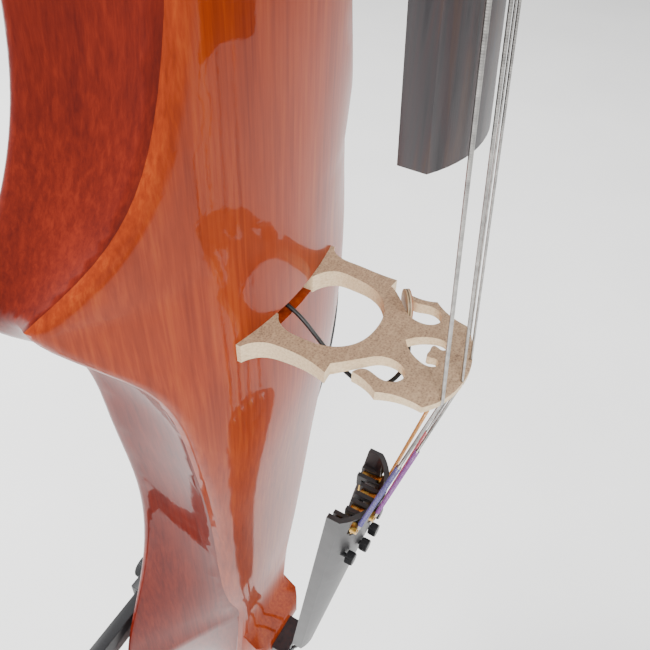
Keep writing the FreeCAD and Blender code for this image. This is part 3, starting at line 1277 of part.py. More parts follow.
keep(box("Battery", "48.5", "17", "26", "0", "%s + 17.5" % inner, tray_low + tray_wall + 0.1), "battery")

keep(cut("BodyCoreDrilled", body_core, bracket_screws, panel_screws, post_well), "body_core")


# ------------------------------------------------------------------ pickup and its lead
# The piezo disc is pressed into the treble wing's slot; its lead goes down into the belly's slot.
pickup_centre = spot(28.6, 50.9, 0)
pickup_axis = Vector(0.58, -0.815, 0)
keep(shaped("PickupElement", Part.makeCylinder(number("pickup_radius"), number("pickup_thick"),
                                               pickup_centre - pickup_axis * (number("pickup_thick") / 2),
                                               pickup_axis)), "pickup_element")
socket_rise = number(board_inner) + 5.0
lead_route = [spot(*place) for place in (
    (-3.0, socket_rise, 9.0), (-3.0, socket_rise + 8, 9.0), (-2.6, -37.5, 4.0), (-2.2, -26.0, 1.6),
    (-2.0, -10.0, 0.4), (-2.8, 4.0, -4.5), (-4.6, 17.0, -14.5), (-8.0, 31.0, -23.0), (-11.0, 46.0, -27.0), (-7.5, 58.5, -24.5),
    (4.0, 63.0, -20.5), (15.5, 60.5, -16.0), (24.5, 54.5, -11.5), (27.9, 51.4, -9.0))]
lead_wire, lead_radii = cord_path(lead_route)
lead_tube = tube(lead_wire, number("lead_radius"), lead_route[0], lead_route[1] - lead_route[0])
print("pickup lead: %.1f mm, arc radii" % lead_wire.Length, [round(radius, 1) for radius in lead_radii])
print("tube volume over section times length: %.3f"
      % (lead_tube.Volume / (math.pi * number("lead_radius") ** 2 * lead_wire.Length)))
keep(shaped("PickupLead", lead_tube), "pickup_lead")


# ------------------------------------------------------------------ checks and export
doc.recompute()
for item in doc.Objects:
    if "Invalid" in item.State or "Error" in item.State:
        raise RuntimeError("%s did not recompute: %s" % (item.Name, item.State))
os.makedirs("parts", exist_ok=True)
for item in subparts:
    if item.Shape.isNull() or not item.Shape.isValid() or not item.Shape.Solids:
        raise RuntimeError("%s has no valid solid" % item.Label)
for item in subparts:
    item.Shape.exportStep("parts/%s.step" % item.Label)
print("%d sub-parts written" % len(subparts))
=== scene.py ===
import json
import math

import bmesh
import bpy
from mathutils import Matrix, Vector


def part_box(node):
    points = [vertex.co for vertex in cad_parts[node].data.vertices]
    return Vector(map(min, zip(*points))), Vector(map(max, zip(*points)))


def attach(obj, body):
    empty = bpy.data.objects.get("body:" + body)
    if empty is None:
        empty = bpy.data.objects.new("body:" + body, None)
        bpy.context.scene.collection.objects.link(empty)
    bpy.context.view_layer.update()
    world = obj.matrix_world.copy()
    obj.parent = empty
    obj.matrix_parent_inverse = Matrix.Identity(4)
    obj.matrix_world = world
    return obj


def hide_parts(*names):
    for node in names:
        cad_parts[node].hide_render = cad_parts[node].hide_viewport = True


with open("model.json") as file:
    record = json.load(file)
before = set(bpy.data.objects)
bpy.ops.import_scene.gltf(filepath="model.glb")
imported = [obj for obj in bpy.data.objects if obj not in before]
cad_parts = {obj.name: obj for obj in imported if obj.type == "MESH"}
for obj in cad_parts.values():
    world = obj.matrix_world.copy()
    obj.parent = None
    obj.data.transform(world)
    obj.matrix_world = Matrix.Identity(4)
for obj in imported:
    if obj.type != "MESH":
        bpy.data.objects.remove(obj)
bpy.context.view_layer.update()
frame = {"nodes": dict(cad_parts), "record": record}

record = frame["record"]


# ---- Room and camera
# A plain pale floor below the endpin's point, a white room and large soft lamps, so that the
# lacquer has broad white shapes to mirror.  The camera looks down on the bridge from the bass side.
def colour(code):
    """An sRGB hex colour as the linear values that a shader reads."""
    parts = [int(code[at:at + 2], 16) / 255 for at in (1, 3, 5)]
    linear = [part / 12.92 if part <= 0.04045 else ((part + 0.055) / 1.055) ** 2.4 for part in parts]
    return (*linear, 1.0)


def node(tree, kind, links=None, **settings):
    """Adds a node with its settings, and links or sets its inputs."""
    made = tree.nodes.new(kind)
    for name, value in settings.items():
        setattr(made, name, value)
    for socket, source in (links or {}).items():
        if isinstance(source, bpy.types.NodeSocket):
            tree.links.new(source, made.inputs[socket])
        else:
            made.inputs[socket].default_value = source
    return made


def start_material(name):
    """An empty node material, with its tree and the place of each point on the object."""
    made = bpy.data.materials.new(name)
    made.use_nodes = True
    made.node_tree.nodes.clear()
    place = node(made.node_tree, "ShaderNodeTexCoord").outputs["Object"]
    return made, made.node_tree, place


def end_material(tree, links):
    """The surface shader with these inputs, led to the output."""
    shader = node(tree, "ShaderNodeBsdfPrincipled", links)
    node(tree, "ShaderNodeOutputMaterial", {"Surface": shader.outputs[0]})


def ramp(tree, factor, stops):
    """Colours by factor; stops are (position, colour code)."""
    made = node(tree, "ShaderNodeValToRGB", {0: factor})
    while len(made.color_ramp.elements) < len(stops):
        made.color_ramp.elements.new(0.5)
    for element, (position, code) in zip(made.color_ramp.elements, stops):
        element.position, element.color = position, colour(code)
    return made.outputs[0]


# matt painted floor, with the faint mottle of a rolled coat
floor_paint, tree, place = start_material("pale_floor_paint")
mottle = node(tree, "ShaderNodeTexNoise", {"Vector": place, "Scale": 3.0, "Detail": 3.0})
end_material(tree, {"Base Color": ramp(tree, mottle.outputs[0], [(0.3, "#F4F4F3"), (0.7, "#FAFAF9")]),
                    "Roughness": 0.85})
bpy.ops.mesh.primitive_plane_add(size=30)
floor = bpy.context.object
floor.name = "floor"
floor.data.materials.append(floor_paint)

room = bpy.data.worlds.new("white_room")
bpy.context.scene.world = room
room.use_nodes = True
room.node_tree.nodes["Background"].inputs["Color"].default_value = colour("#FFFFFF")
room.node_tree.nodes["Background"].inputs["Strength"].default_value = 0.6

for name, lamp_at, aim, power, wide, tall in (
        ("window_light", (-1.8, -1.2, 2.4), (0, 0, 0.8), 80, 0.9, 1.5),
        ("fill_light", (1.7, -1.9, 2.0), (0, 0, 0.7), 50, 1.4, 1.0),
        ("back_light", (-0.5, 2.4, 2.6), (0.6, 0.6, 0.0), 240, 2.0, 1.6)):
    lamp = bpy.data.lights.new(name, "AREA")
    lamp.shape, lamp.size, lamp.size_y, lamp.energy = "RECTANGLE", wide, tall, power
    holder = bpy.data.objects.new(name, lamp)
    holder.location = lamp_at
    holder.rotation_euler = (Vector(aim) - Vector(lamp_at)).to_track_quat("-Z", "Y").to_euler()
    bpy.context.scene.collection.objects.link(holder)

camera_at = Vector((-0.23179, -0.18479, 0.94882))
heading, pitch, roll = 0.484, -0.7546, 0.0485
ahead = Vector((math.cos(pitch) * math.cos(heading), math.cos(pitch) * math.sin(heading), math.sin(pitch)))
level_right = ahead.cross(Vector((0, 0, 1))).normalized()
level_up = level_right.cross(ahead)
camera_right = level_right * math.cos(roll) + level_up * math.sin(roll)
camera_up = level_up * math.cos(roll) - level_right * math.sin(roll)
lens = bpy.data.cameras.new("camera")
lens.sensor_width, lens.lens, lens.clip_start = 36.0, 38.13, 0.01
camera = bpy.data.objects.new("camera", lens)
turn = Matrix((camera_right, camera_up, -ahead)).transposed()
camera.matrix_world = Matrix.Translation(camera_at) @ turn.to_4x4()
bpy.context.scene.collection.objects.link(camera)
bpy.context.scene.camera = camera


# ---- Body: belly and carved body
# Solid carved wood under a thick coloured gloss lacquer, polished.  The coat mirrors the room, and its
# faint orange peel breaks up the edges of what it mirrors; the grain runs up the instrument.
corner_reach = 2e-6         # corners nearer than this are one corner
body_of = {name: body for body, names in record["behaviour"]["bodies"].items() for name in names}


def finished(name, material, sharp=32, round_off=0.0):
    """A copy of a frame piece with its corners joined, curved faces smooth and edges just broken."""
    mesh = frame["nodes"][name].data.copy()
    joined = bmesh.new()
    joined.from_mesh(mesh)
    bmesh.ops.remove_doubles(joined, verts=joined.verts, dist=corner_reach)
    joined.to_mesh(mesh)
    joined.free()
    mesh.materials.clear()
    mesh.materials.append(material)
    mesh.shade_smooth()
    mesh.set_sharp_from_angle(angle=math.radians(sharp))
    piece = bpy.data.objects.new(name + "_finished", mesh)
    bpy.context.scene.collection.objects.link(piece)
    if round_off:
        bevel = piece.modifiers.new("broken_edges", "BEVEL")
        bevel.width, bevel.segments, bevel.limit_method = round_off, 2, "ANGLE"
        bevel.angle_limit = math.radians(40)
        bevel.harden_normals = True
    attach(piece, body_of[name])
    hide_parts(name)
    return piece


def lacquered_wood(name, dark, middle, light):
    """Gloss lacquer over straight-grained wood: streaks 1-3 mm wide that run along Z."""
    made, tree, place = start_material(name)
    stretched = node(tree, "ShaderNodeMapping", {"Vector": place, "Scale": (1.0, 1.0, 0.035)}).outputs[0]
    streaks = node(tree, "ShaderNodeTexNoise", {"Vector": stretched, "Scale": 420.0, "Detail": 6.0,
                                                "Roughness": 0.6, "Distortion": 0.3})
    broad = node(tree, "ShaderNodeTexNoise", {"Vector": stretched, "Scale": 60.0, "Detail": 3.0})
    pores = node(tree, "ShaderNodeTexNoise", {"Vector": stretched, "Scale": 1500.0, "Detail": 2.0})
    mixed = node(tree, "ShaderNodeMix", {0: 0.38, 2: streaks.outputs[0], 3: broad.outputs[0]},
                 data_type="FLOAT")
    fine = node(tree, "ShaderNodeMix", {0: 0.08, 2: mixed.outputs[0], 3: pores.outputs[0]},
                data_type="FLOAT")
    shade = ramp(tree, fine.outputs[0], [(0.3, dark), (0.5, middle), (0.7, light)])
    # orange peel: shallow waves about 2 mm across
    peel = node(tree, "ShaderNodeTexNoise", {"Vector": place, "Scale": 420.0, "Detail": 1.0})
    waves = node(tree, "ShaderNodeBump", {"Height": peel.outputs[0], "Strength": 0.05, "Distance": 0.0006})
    end_material(tree, {"Base Color": shade, "Roughness": 0.4, "IOR": 1.5, "Specular IOR Level": 0.05,
                        "Coat Weight": 0.4, "Coat Roughness": 0.04, "Coat IOR": 1.5,
                        "Coat Normal": waves.outputs[0]})
    return made


belly_lacquer = lacquered_wood("orange_red_gloss_lacquer_on_spruce", "#6C2009", "#8A300E", "#A24618")
# The carved body gets a darker copy of the belly's lacquer: painted shade, standing in for the flanks that
# turn away from the light and mirror dark.
shaded_flank_lacquer = lacquered_wood("red_brown_lacquer_on_maple_darkened_as_painted_shade", "#4C0E08", "#64180B", "#7C2410")
finished("belly_plate", belly_lacquer, sharp=28)
finished("body_core", shaded_flank_lacquer, sharp=28)


# ---- Neck, pegbox and scroll
# One piece of maple, lacquered like the body but thinner, and satin where the hand runs.
neck_lacquer, tree, place = start_material("satin_red_lacquer_on_flamed_maple")
flame = node(tree, "ShaderNodeTexWave", {"Vector": place, "Scale": 38.0, "Distortion": 5.0, "Detail": 2.0},
             bands_direction="Z")
grain_place = node(tree, "ShaderNodeMapping", {"Vector": place, "Scale": (1.0, 1.0, 0.05)}).outputs[0]
grain = node(tree, "ShaderNodeTexNoise", {"Vector": grain_place, "Scale": 500.0, "Detail": 4.0})
both = node(tree, "ShaderNodeMix", {0: 0.8, 2: flame.outputs[1], 3: grain.outputs[0]}, data_type="FLOAT")
end_material(tree, {"Base Color": ramp(tree, both.outputs[0], [(0.25, "#641C0C"), (0.5, "#882E12"),
                                                               (0.8, "#A4441C")]),
                    "Roughness": 0.35, "Coat Weight": 0.7, "Coat Roughness": 0.12})
finished("neck", neck_lacquer, sharp=30)


# ---- Fingerboard, nut, saddle and pegs
# Ebony, scraped and oiled: nearly black, with brown and bluish streaks along the grain and fine pores.
ebony, tree, place = start_material("oiled_ebony")
along = node(tree, "ShaderNodeMapping", {"Vector": place, "Scale": (1.0, 1.0, 0.04)}).outputs[0]
streak = node(tree, "ShaderNodeTexNoise", {"Vector": along, "Scale": 260.0, "Detail": 5.0,
                                           "Distortion": 0.4})
pore = node(tree, "ShaderNodeTexNoise", {"Vector": along, "Scale": 1800.0, "Detail": 2.0})
pitted = node(tree, "ShaderNodeBump", {"Height": pore.outputs[0], "Strength": 0.12, "Distance": 0.0003})
end_material(tree, {"Base Color": ramp(tree, streak.outputs[0], [(0.3, "#1E1B1F"), (0.45, "#2E2A2C"),
                                                                 (0.55, "#33282A"),
                                                                 (0.62, "#3B2C28"), (0.75, "#2B2D36")]),
                    "Roughness": 0.36, "IOR": 1.5, "Normal": pitted.outputs[0]})
for name in ("fingerboard", "nut", "saddle"):
    finished(name, ebony, sharp=30, round_off=0.0004)
for letter in "cgda":
    finished("peg_" + letter, ebony, sharp=30)


# ---- Bridge
# Sawn and scraped maple, left bare: greige faces full of fine medullary flecks, and cleaner cream
# on the cut edges, where a knife has shaved it.
maple, tree, place = start_material("bare_scraped_maple")
flecks = node(tree, "ShaderNodeTexVoronoi", {"Vector": place, "Scale": 900.0}, feature="F1")
drawn = node(tree, "ShaderNodeMapping", {"Vector": place, "Scale": (0.12, 1.0, 1.0)}).outputs[0]
lines = node(tree, "ShaderNodeTexNoise", {"Vector": drawn, "Scale": 900.0, "Detail": 4.0})
speckle = node(tree, "ShaderNodeMix", {0: 0.5, 2: flecks.outputs[0], 3: lines.outputs[0]},
               data_type="FLOAT")
face = ramp(tree, speckle.outputs[0], [(0.25, "#7A6350"), (0.42, "#A08468"), (0.7, "#B89C7C")])
edge = ramp(tree, lines.outputs[0], [(0.3, "#D2B48C"), (0.6, "#E8CFA8")])
facing = node(tree, "ShaderNodeSeparateXYZ", {0: node(tree, "ShaderNodeNewGeometry").outputs["Normal"]})
flat = node(tree, "ShaderNodeMath", {0: facing.outputs["Z"]}, operation="ABSOLUTE")
on_face = node(tree, "ShaderNodeMapRange", {"Value": flat.outputs[0], "From Min": 0.6, "From Max": 0.8})
wood = node(tree, "ShaderNodeMix", {0: on_face.outputs[0], 6: edge, 7: face}, data_type="RGBA")
rough = node(tree, "ShaderNodeBump", {"Height": lines.outputs[0], "Strength": 0.15, "Distance": 0.0003})
end_material(tree, {"Base Color": wood.outputs[2], "Roughness": 0.55, "IOR": 1.47,
                    "Normal": rough.outputs[0]})
finished("bridge", maple, sharp=30, round_off=0.0003)


# ---- Pickup disc and its lead
# A round piezo sandwich pressed into the bridge's slot: brown copper faces, cream board and a dark
# layer between, which show as rings on its rim.  Its lead is a thin black PVC wire.
disc, tree, place = start_material("copper_faced_piezo_sandwich")
centre = Vector((0.0286, -0.0959, 0.710))
from_centre = node(tree, "ShaderNodeVectorMath", {0: place, 1: centre}, operation="SUBTRACT").outputs[0]
depth = node(tree, "ShaderNodeVectorMath", {0: from_centre, 1: Vector((0.58, -0.815, 0)).normalized()},
             operation="DOT_PRODUCT").outputs["Value"]
layer = node(tree, "ShaderNodeMapRange", {"Value": depth, "From Min": -0.0016, "From Max": 0.0016})
layers = ramp(tree, layer.outputs[0], [(0.0, "#8A5A38"), (0.12, "#E0CFA6"), (0.4, "#3A2A22"),
                                       (0.6, "#E4D3AC"),
                                       (0.86, "#B0653A"), (1.0, "#7C4426")])
tarnish = node(tree, "ShaderNodeTexNoise", {"Vector": place, "Scale": 500.0, "Detail": 4.0})
film = ramp(tree, tarnish.outputs[0], [(0.3, "#5B3320"), (0.7, "#C98A5C")])
worn = node(tree, "ShaderNodeMix", {0: 0.35, 6: layers, 7: film}, data_type="RGBA", blend_type="MULTIPLY")
end_material(tree, {"Base Color": worn.outputs[2], "Roughness": 0.42})
finished("pickup_element", disc, sharp=30, round_off=0.0002)

wire_jacket, tree, place = start_material("soft_black_pvc_jacket")
scuffs = node(tree, "ShaderNodeTexNoise", {"Vector": place, "Scale": 700.0, "Detail": 3.0})
end_material(tree, {"Base Color": ramp(tree, scuffs.outputs[0], [(0.3, "#0C0C0D"), (0.7, "#1A1A1C")]),
                    "Roughness": 0.38, "IOR": 1.5})
lead_points = [
    (-0.0030, 0.0104, 0.7190), (-0.0030, 0.0024, 0.7190), (-0.0026, -0.0075, 0.7140),
    (-0.0022, -0.0190, 0.7116), (-0.0020, -0.0350, 0.7104), (-0.0028, -0.0490, 0.7055),
    (-0.0046, -0.0620, 0.6955), (-0.0080, -0.0760, 0.6870), (-0.0110, -0.0910, 0.6830),
    (-0.0075, -0.1035, 0.6855), (0.0040, -0.1080, 0.6895), (0.0155, -0.1055, 0.6940),
    (0.0245, -0.0995, 0.6985), (0.0279, -0.0964, 0.7010)]
lead_length, lead_diameter = 0.1644, 0.0024
lead_curve = bpy.data.curves.new("pickup_wire", "CURVE")
lead_curve.dimensions = "3D"
lead_curve.resolution_u = 8
lead_curve.bevel_depth = lead_diameter / 2
lead_curve.bevel_resolution = 3
lead_curve.use_fill_caps = True
run = lead_curve.splines.new("NURBS")
run.points.add(len(lead_points) - 1)
for point, at in zip(run.points, lead_points):
    point.co = (*at, 1.0)
run.order_u = 3
run.use_endpoint_u = True
lead_curve.materials.append(wire_jacket)
pickup_wire = bpy.data.objects.new("pickup_wire", lead_curve)
bpy.context.scene.collection.objects.link(pickup_wire)
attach(pickup_wire, "instrument")
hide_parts("pickup_lead")


# ---- Strings, their silks and their turns on the pegs
# Steel cores wound with flat ribbon and polished, so the windings are a fine satin; each tail end is
# wrapped in coloured silk thread laid in a tight helix over the winding.
flat_wound, tree, place = start_material("flat_wound_polished_steel")
# turns of ribbon 1 mm apart, drawn coarser than the real 0.3 mm so that they show
ribbon = node(tree, "ShaderNodeTexWave", {"Vector": place, "Scale": 320.0, "Distortion": 0.2},
              bands_direction="Z")
groove = node(tree, "ShaderNodeBump", {"Height": ribbon.outputs[1], "Strength": 0.25, "Distance": 0.0001})
wear = node(tree, "ShaderNodeTexNoise", {"Vector": place, "Scale": 300.0, "Detail": 3.0})
end_material(tree, {"Base Color": ramp(tree, wear.outputs[0], [(0.3, "#8E8C8A"), (0.7, "#B7B4B0")]),
                    "Metallic": 1.0,
                    "Roughness": 0.34, "Normal": groove.outputs[0]})


def silk_thread(name, dark, light):
    """Dyed silk: matt, with the sheen of fibres and slight fading along its length."""
    made, tree, place = start_material(name)
    fibres = node(tree, "ShaderNodeTexNoise", {"Vector": place, "Scale": 1400.0, "Detail": 3.0})
    end_material(tree, {"Base Color": ramp(tree, fibres.outputs[0], [(0.3, dark), (0.7, light)]),
                        "Roughness": 0.7,
                        "Sheen Weight": 0.4, "Sheen Roughness": 0.4})
    return made


silks = {"c": silk_thread("blue_violet_silk_wrap", "#2B2670", "#5A4C9E"),
         "g": silk_thread("purple_silk_wrap", "#6E2A80", "#A050A8"),
         "d": silk_thread("red_silk_wrap", "#B03848", "#E0626C"),
         "a": silk_thread("gold_silk_wrap", "#D88418", "#F6B044")}

# The wrap: a helix of round thread from one point to another, swept along the string.
wrap_tree = bpy.data.node_groups.new("helical_wrap", "GeometryNodeTree")
wrap_tree.interface.new_socket("Geometry", in_out="INPUT", socket_type="NodeSocketGeometry")
wrap_inputs = {}
for name, kind in (("Turns", "NodeSocketFloat"), ("Wrap radius", "NodeSocketFloat"),
                   ("Wrap length", "NodeSocketFloat"),
                   ("Thread radius", "NodeSocketFloat"), ("Thread", "NodeSocketMaterial")):
    wrap_inputs[name] = wrap_tree.interface.new_socket(name, in_out="INPUT", socket_type=kind).identifier
wrap_tree.interface.new_socket("Geometry", in_out="OUTPUT", socket_type="NodeSocketGeometry")
given = node(wrap_tree, "NodeGroupInput")
helix = node(wrap_tree, "GeometryNodeCurveSpiral", {
    "Resolution": 14, "Rotations": given.outputs["Turns"], "Start Radius": given.outputs["Wrap radius"],
    "End Radius": given.outputs["Wrap radius"], "Height": given.outputs["Wrap length"]})
profile = node(wrap_tree, "GeometryNodeCurvePrimitiveCircle", {"Resolution": 6,
                                                               "Radius": given.outputs["Thread radius"]})
swept = node(wrap_tree, "GeometryNodeCurveToMesh", {"Curve": helix.outputs[0],
                                                    "Profile Curve": profile.outputs[0],
                                                    "Fill Caps": True})
smooth = node(wrap_tree, "GeometryNodeSetShadeSmooth", {"Geometry": swept.outputs[0]})
real = node(wrap_tree, "GeometryNodeRealizeInstances", {"Geometry": smooth.outputs[0]})
threaded = node(wrap_tree, "GeometryNodeSetMaterial", {"Geometry": real.outputs[0],
                                                       "Material": given.outputs["Thread"]})
node(wrap_tree, "NodeGroupOutput", {0: threaded.outputs[0]})


def grown(name, tree, inputs, values, body, place=Matrix()):
    """Runs a tree with these values and leaves its result as a plain mesh, put in place, on this body."""
    carrier = bpy.data.objects.new(name + "_carrier", bpy.data.meshes.new(name))
    bpy.context.scene.collection.objects.link(carrier)
    grower = carrier.modifiers.new("grow", "NODES")
    grower.node_group = tree
    for key, value in values.items():
        grower[inputs[key]] = value
    carrier.update_tag()
    ready = carrier.evaluated_get(bpy.context.evaluated_depsgraph_get())
    mesh = bpy.data.meshes.new_from_object(ready)
    bpy.data.objects.remove(carrier)
    mesh.transform(place)
    piece = bpy.data.objects.new(name, mesh)
    bpy.context.scene.collection.objects.link(piece)
    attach(piece, body)
    return piece


def along_line(start, end):
    """The place of something built along +Z from the origin, laid from start towards end."""
    return Matrix.Translation(start) @ (end - start).to_track_quat("Z", "Y").to_matrix().to_4x4()


def ring_middle(name, up, reach=0.004):
    """The middle of a node's corners near a height."""
    near = [v.co.copy() for v in frame["nodes"][name].data.vertices if abs(v.co.z - up) < reach]
    return (Vector((min(p.x for p in near), min(p.y for p in near), min(p.z for p in near)))
            + Vector((max(p.x for p in near), max(p.y for p in near), max(p.z for p in near)))) / 2


joint_at = {joint["name"]: joint.get("pos_m") for joint in record["behaviour"]["joints"]}
bridge_line, ball_line, ball_reach = 0.710, 0.564, 0.003
string_radius = {"c": 0.00085, "g": 0.00068, "d": 0.00052, "a": 0.00042}
silk_from = 0.6468              # height of the wrap's upper end
silk_pitch, silk_thread_radius = 0.0009, 0.00032
silk_over_core = 0.00045        # from the string's surface to the middle of the thread
silk_short_of_ball = 0.03       # share of the run left bare at the ball
peg_wind_radius, peg_wind_turns, peg_wind_long, peg_wind_gap = 0.0064, 4.0, 0.0075, 0.0024
for letter in "cgda":
    finished("string_" + letter, flat_wound, sharp=40)
    over_bridge = ring_middle("string_" + letter, bridge_line)
    at_ball = ring_middle("string_" + letter, ball_line, ball_reach)
    start = at_ball + (over_bridge - at_ball) * ((silk_from - at_ball.z) / (over_bridge.z - at_ball.z))
    end = at_ball + (over_bridge - at_ball) * silk_short_of_ball
    grown("silk_" + letter, wrap_tree, wrap_inputs,
                  {"Turns": (start - end).length / silk_pitch,
                   "Wrap radius": string_radius[letter] + silk_over_core,
                   "Wrap length": (start - end).length, "Thread radius": silk_thread_radius,
                   "Thread": silks[letter]},
                  "instrument", along_line(end, start))

    # turns of string wound on the peg's shaft, inside the pegbox
    winding = Vector(joint_at["peg_%s_turn" % letter])
    reached = max((v.co for v in frame["nodes"]["string_" + letter].data.vertices), key=lambda at: at.z).x
    towards = 1.0 if reached < 0 else -1.0
    first = winding + Vector((reached + towards * peg_wind_gap, 0, 0))
    grown("turns_" + letter, wrap_tree, wrap_inputs,
                  {"Turns": peg_wind_turns, "Wrap radius": peg_wind_radius + string_radius[letter],
                   "Wrap length": peg_wind_long,
                   "Thread radius": string_radius[letter], "Thread": flat_wound},
                  "peg_" + letter, along_line(first, first + Vector((towards, 0, 0))))


# ---- Tailpiece and tailgut
# Moulded carbon-filled composite with a fine satin texture; the tailgut is a black synthetic cord.
composite, tree, place = start_material("satin_carbon_composite")
weave = node(tree, "ShaderNodeTexNoise", {"Vector": place, "Scale": 1300.0, "Detail": 3.0})
cloud = node(tree, "ShaderNodeTexNoise", {"Vector": place, "Scale": 60.0, "Detail": 3.0})
satin = node(tree, "ShaderNodeBump", {"Height": weave.outputs[0], "Strength": 0.12, "Distance": 0.0002})
end_material(tree, {"Base Color": ramp(tree, cloud.outputs[0], [(0.3, "#2A292A"), (0.7, "#3A393A")]),
                    "Roughness": 0.4,
                    "IOR": 1.5, "Normal": satin.outputs[0]})
finished("tailpiece", composite, sharp=30, round_off=0.0003)
gut_cord, tree, place = start_material("black_synthetic_tail_cord")
strand = node(tree, "ShaderNodeTexNoise", {"Vector": place, "Scale": 900.0, "Detail": 2.0})
end_material(tree, {"Base Color": ramp(tree, strand.outputs[0], [(0.3, "#0E0E10"), (0.7, "#1D1D20")]),
                    "Roughness": 0.45})
finished("tailgut", gut_cord, sharp=40)


# ---- Fine tuners
# Brass levers, machined and polished, each on a plain steel pin, and knurled steel screws with a
# satin black coat that press on the levers.
brass, tree, place = start_material("polished_brass")
tarnish = node(tree, "ShaderNodeTexNoise", {"Vector": place, "Scale": 260.0, "Detail": 4.0})
finger = node(tree, "ShaderNodeMapRange", {"Value": tarnish.outputs[0], "To Min": 0.2, "To Max": 0.36})
end_material(tree, {"Base Color": ramp(tree, tarnish.outputs[0], [(0.3, "#B08538"), (0.6, "#D6AE5E"),
                                                                  (0.8, "#E6C684")]),
                    "Metallic": 1.0, "Roughness": finger.outputs[0]})
steel, tree, place = start_material("bright_drawn_steel")
drawn = node(tree, "ShaderNodeMapping", {"Vector": place, "Scale": (1.0, 1.0, 0.02)}).outputs[0]
brushed = node(tree, "ShaderNodeTexNoise", {"Vector": drawn, "Scale": 1600.0, "Detail": 3.0})
lustre = node(tree, "ShaderNodeMapRange", {"Value": brushed.outputs[0], "To Min": 0.2, "To Max": 0.34})
end_material(tree, {"Base Color": ramp(tree, brushed.outputs[0], [(0.3, "#A9ABAE"), (0.7, "#C4C6C9")]),
                    "Metallic": 1.0,
                    "Roughness": lustre.outputs[0]})
for letter in "cgda":
    finished("tuner_lever_" + letter, brass, sharp=35, round_off=0.0002)
finished("tuner_pivots", steel, sharp=40)

# Knurling: upright ridges set round a barrel.
knurl_tree = bpy.data.node_groups.new("ridged_barrel", "GeometryNodeTree")
knurl_tree.interface.new_socket("Geometry", in_out="INPUT", socket_type="NodeSocketGeometry")
knurl_inputs = {}
for name, kind in (("Ridges", "NodeSocketInt"), ("Barrel radius", "NodeSocketFloat"),
                   ("Barrel height", "NodeSocketFloat"),
                   ("Ridge width", "NodeSocketFloat"), ("Finish", "NodeSocketMaterial")):
    knurl_inputs[name] = knurl_tree.interface.new_socket(name, in_out="INPUT", socket_type=kind).identifier
knurl_tree.interface.new_socket("Geometry", in_out="OUTPUT", socket_type="NodeSocketGeometry")
given = node(knurl_tree, "NodeGroupInput")
rim = node(knurl_tree, "GeometryNodeMeshCircle", {"Vertices": given.outputs["Ridges"],
                                                  "Radius": given.outputs["Barrel radius"]})
ridge = node(knurl_tree, "GeometryNodeMeshCylinder", {"Vertices": 6, "Radius": given.outputs["Ridge width"],
                                                      "Depth": given.outputs["Barrel height"]})
set_round = node(knurl_tree, "GeometryNodeInstanceOnPoints", {"Points": rim.outputs[0],
                                                              "Instance": ridge.outputs[0]})
real = node(knurl_tree, "GeometryNodeRealizeInstances", {"Geometry": set_round.outputs[0]})
coated = node(knurl_tree, "GeometryNodeSetMaterial", {"Geometry": real.outputs[0],
                                                      "Material": given.outputs["Finish"]})
node(knurl_tree, "NodeGroupOutput", {0: coated.outputs[0]})


def knurled(name, frame_node, axis, material, ridges, ridge, head_share=(0.0, 1.0)):
    """Ridges round the head of a screw or knob, read from its node's box; axis is 0, 1 or 2."""
    low, high = (Vector(corner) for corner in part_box(frame_node))
    others = [i for i in range(3) if i != axis]
    radius = (high[others[0]] - low[others[0]]) / 2
    middle = (low + high) / 2
    length = high[axis] - low[axis]
    start, end = low[axis] + length * head_share[0], low[axis] + length * head_share[1]
    middle[axis] = (start + end) / 2
    facing = Vector([1.0 if i == axis else 0.0 for i in range(3)])
    place = Matrix.Translation(middle) @ facing.to_track_quat("Z", "Y").to_matrix().to_4x4()
    piece = grown(name, knurl_tree, knurl_inputs,
                  {"Ridges": ridges, "Barrel radius": radius, "Barrel height": (end - start) * 0.9,
                   "Ridge width": ridge, "Finish": material}, body_of[frame_node], place)
    return piece


black_metal, tree, place = start_material("satin_black_powder_coat")
grit = node(tree, "ShaderNodeTexNoise", {"Vector": place, "Scale": 1100.0, "Detail": 2.0})
pebble = node(tree, "ShaderNodeBump", {"Height": grit.outputs[0], "Strength": 0.15, "Distance": 0.0003})
end_material(tree, {"Base Color": ramp(tree, grit.outputs[0], [(0.3, "#141416"), (0.7, "#1E1E21")]),
                    "Roughness": 0.42,
                    "IOR": 1.5, "Normal": pebble.outputs[0]})
for letter in "cgda":
    finished("tuner_screw_" + letter, black_metal, sharp=35, round_off=0.0002)
    knurled("tuner_grip_" + letter, "tuner_screw_" + letter, 1, black_metal, 30, 0.0003,
            (0.02, 0.33))


# ---- Endpin
# A bright steel rod in a black anodised collar, held by a black thumbscrew; the tip is hardened steel.
finished("endpin_collar", black_metal, sharp=35, round_off=0.0005)
finished("endpin_rod", steel, sharp=40)
finished("endpin_tip", steel, sharp=25)


# ---- Knee and chest supports
# Black powder-coated steel arms in moulded nylon brackets, with rubber knee pads and a foam chest pad.
nylon, tree, place = start_material("moulded_black_nylon")
spark = node(tree, "ShaderNodeTexNoise", {"Vector": place, "Scale": 900.0, "Detail": 2.0})
eroded = node(tree, "ShaderNodeBump", {"Height": spark.outputs[0], "Strength": 0.2, "Distance": 0.0003})
end_material(tree, {"Base Color": ramp(tree, spark.outputs[0], [(0.3, "#161618"), (0.7, "#222225")]),
                    "Roughness": 0.5,
                    "IOR": 1.53, "Normal": eroded.outputs[0]})
rubber, tree, place = start_material("matt_black_rubber")
bloom = node(tree, "ShaderNodeTexNoise", {"Vector": place, "Scale": 160.0, "Detail": 4.0})
end_material(tree, {"Base Color": ramp(tree, bloom.outputs[0], [(0.3, "#121213"), (0.7, "#201F20")]),
                    "Roughness": 0.75})
foam, tree, place = start_material("closed_cell_foam_skin")
cells = node(tree, "ShaderNodeTexVoronoi", {"Vector": place, "Scale": 700.0}, feature="F1")
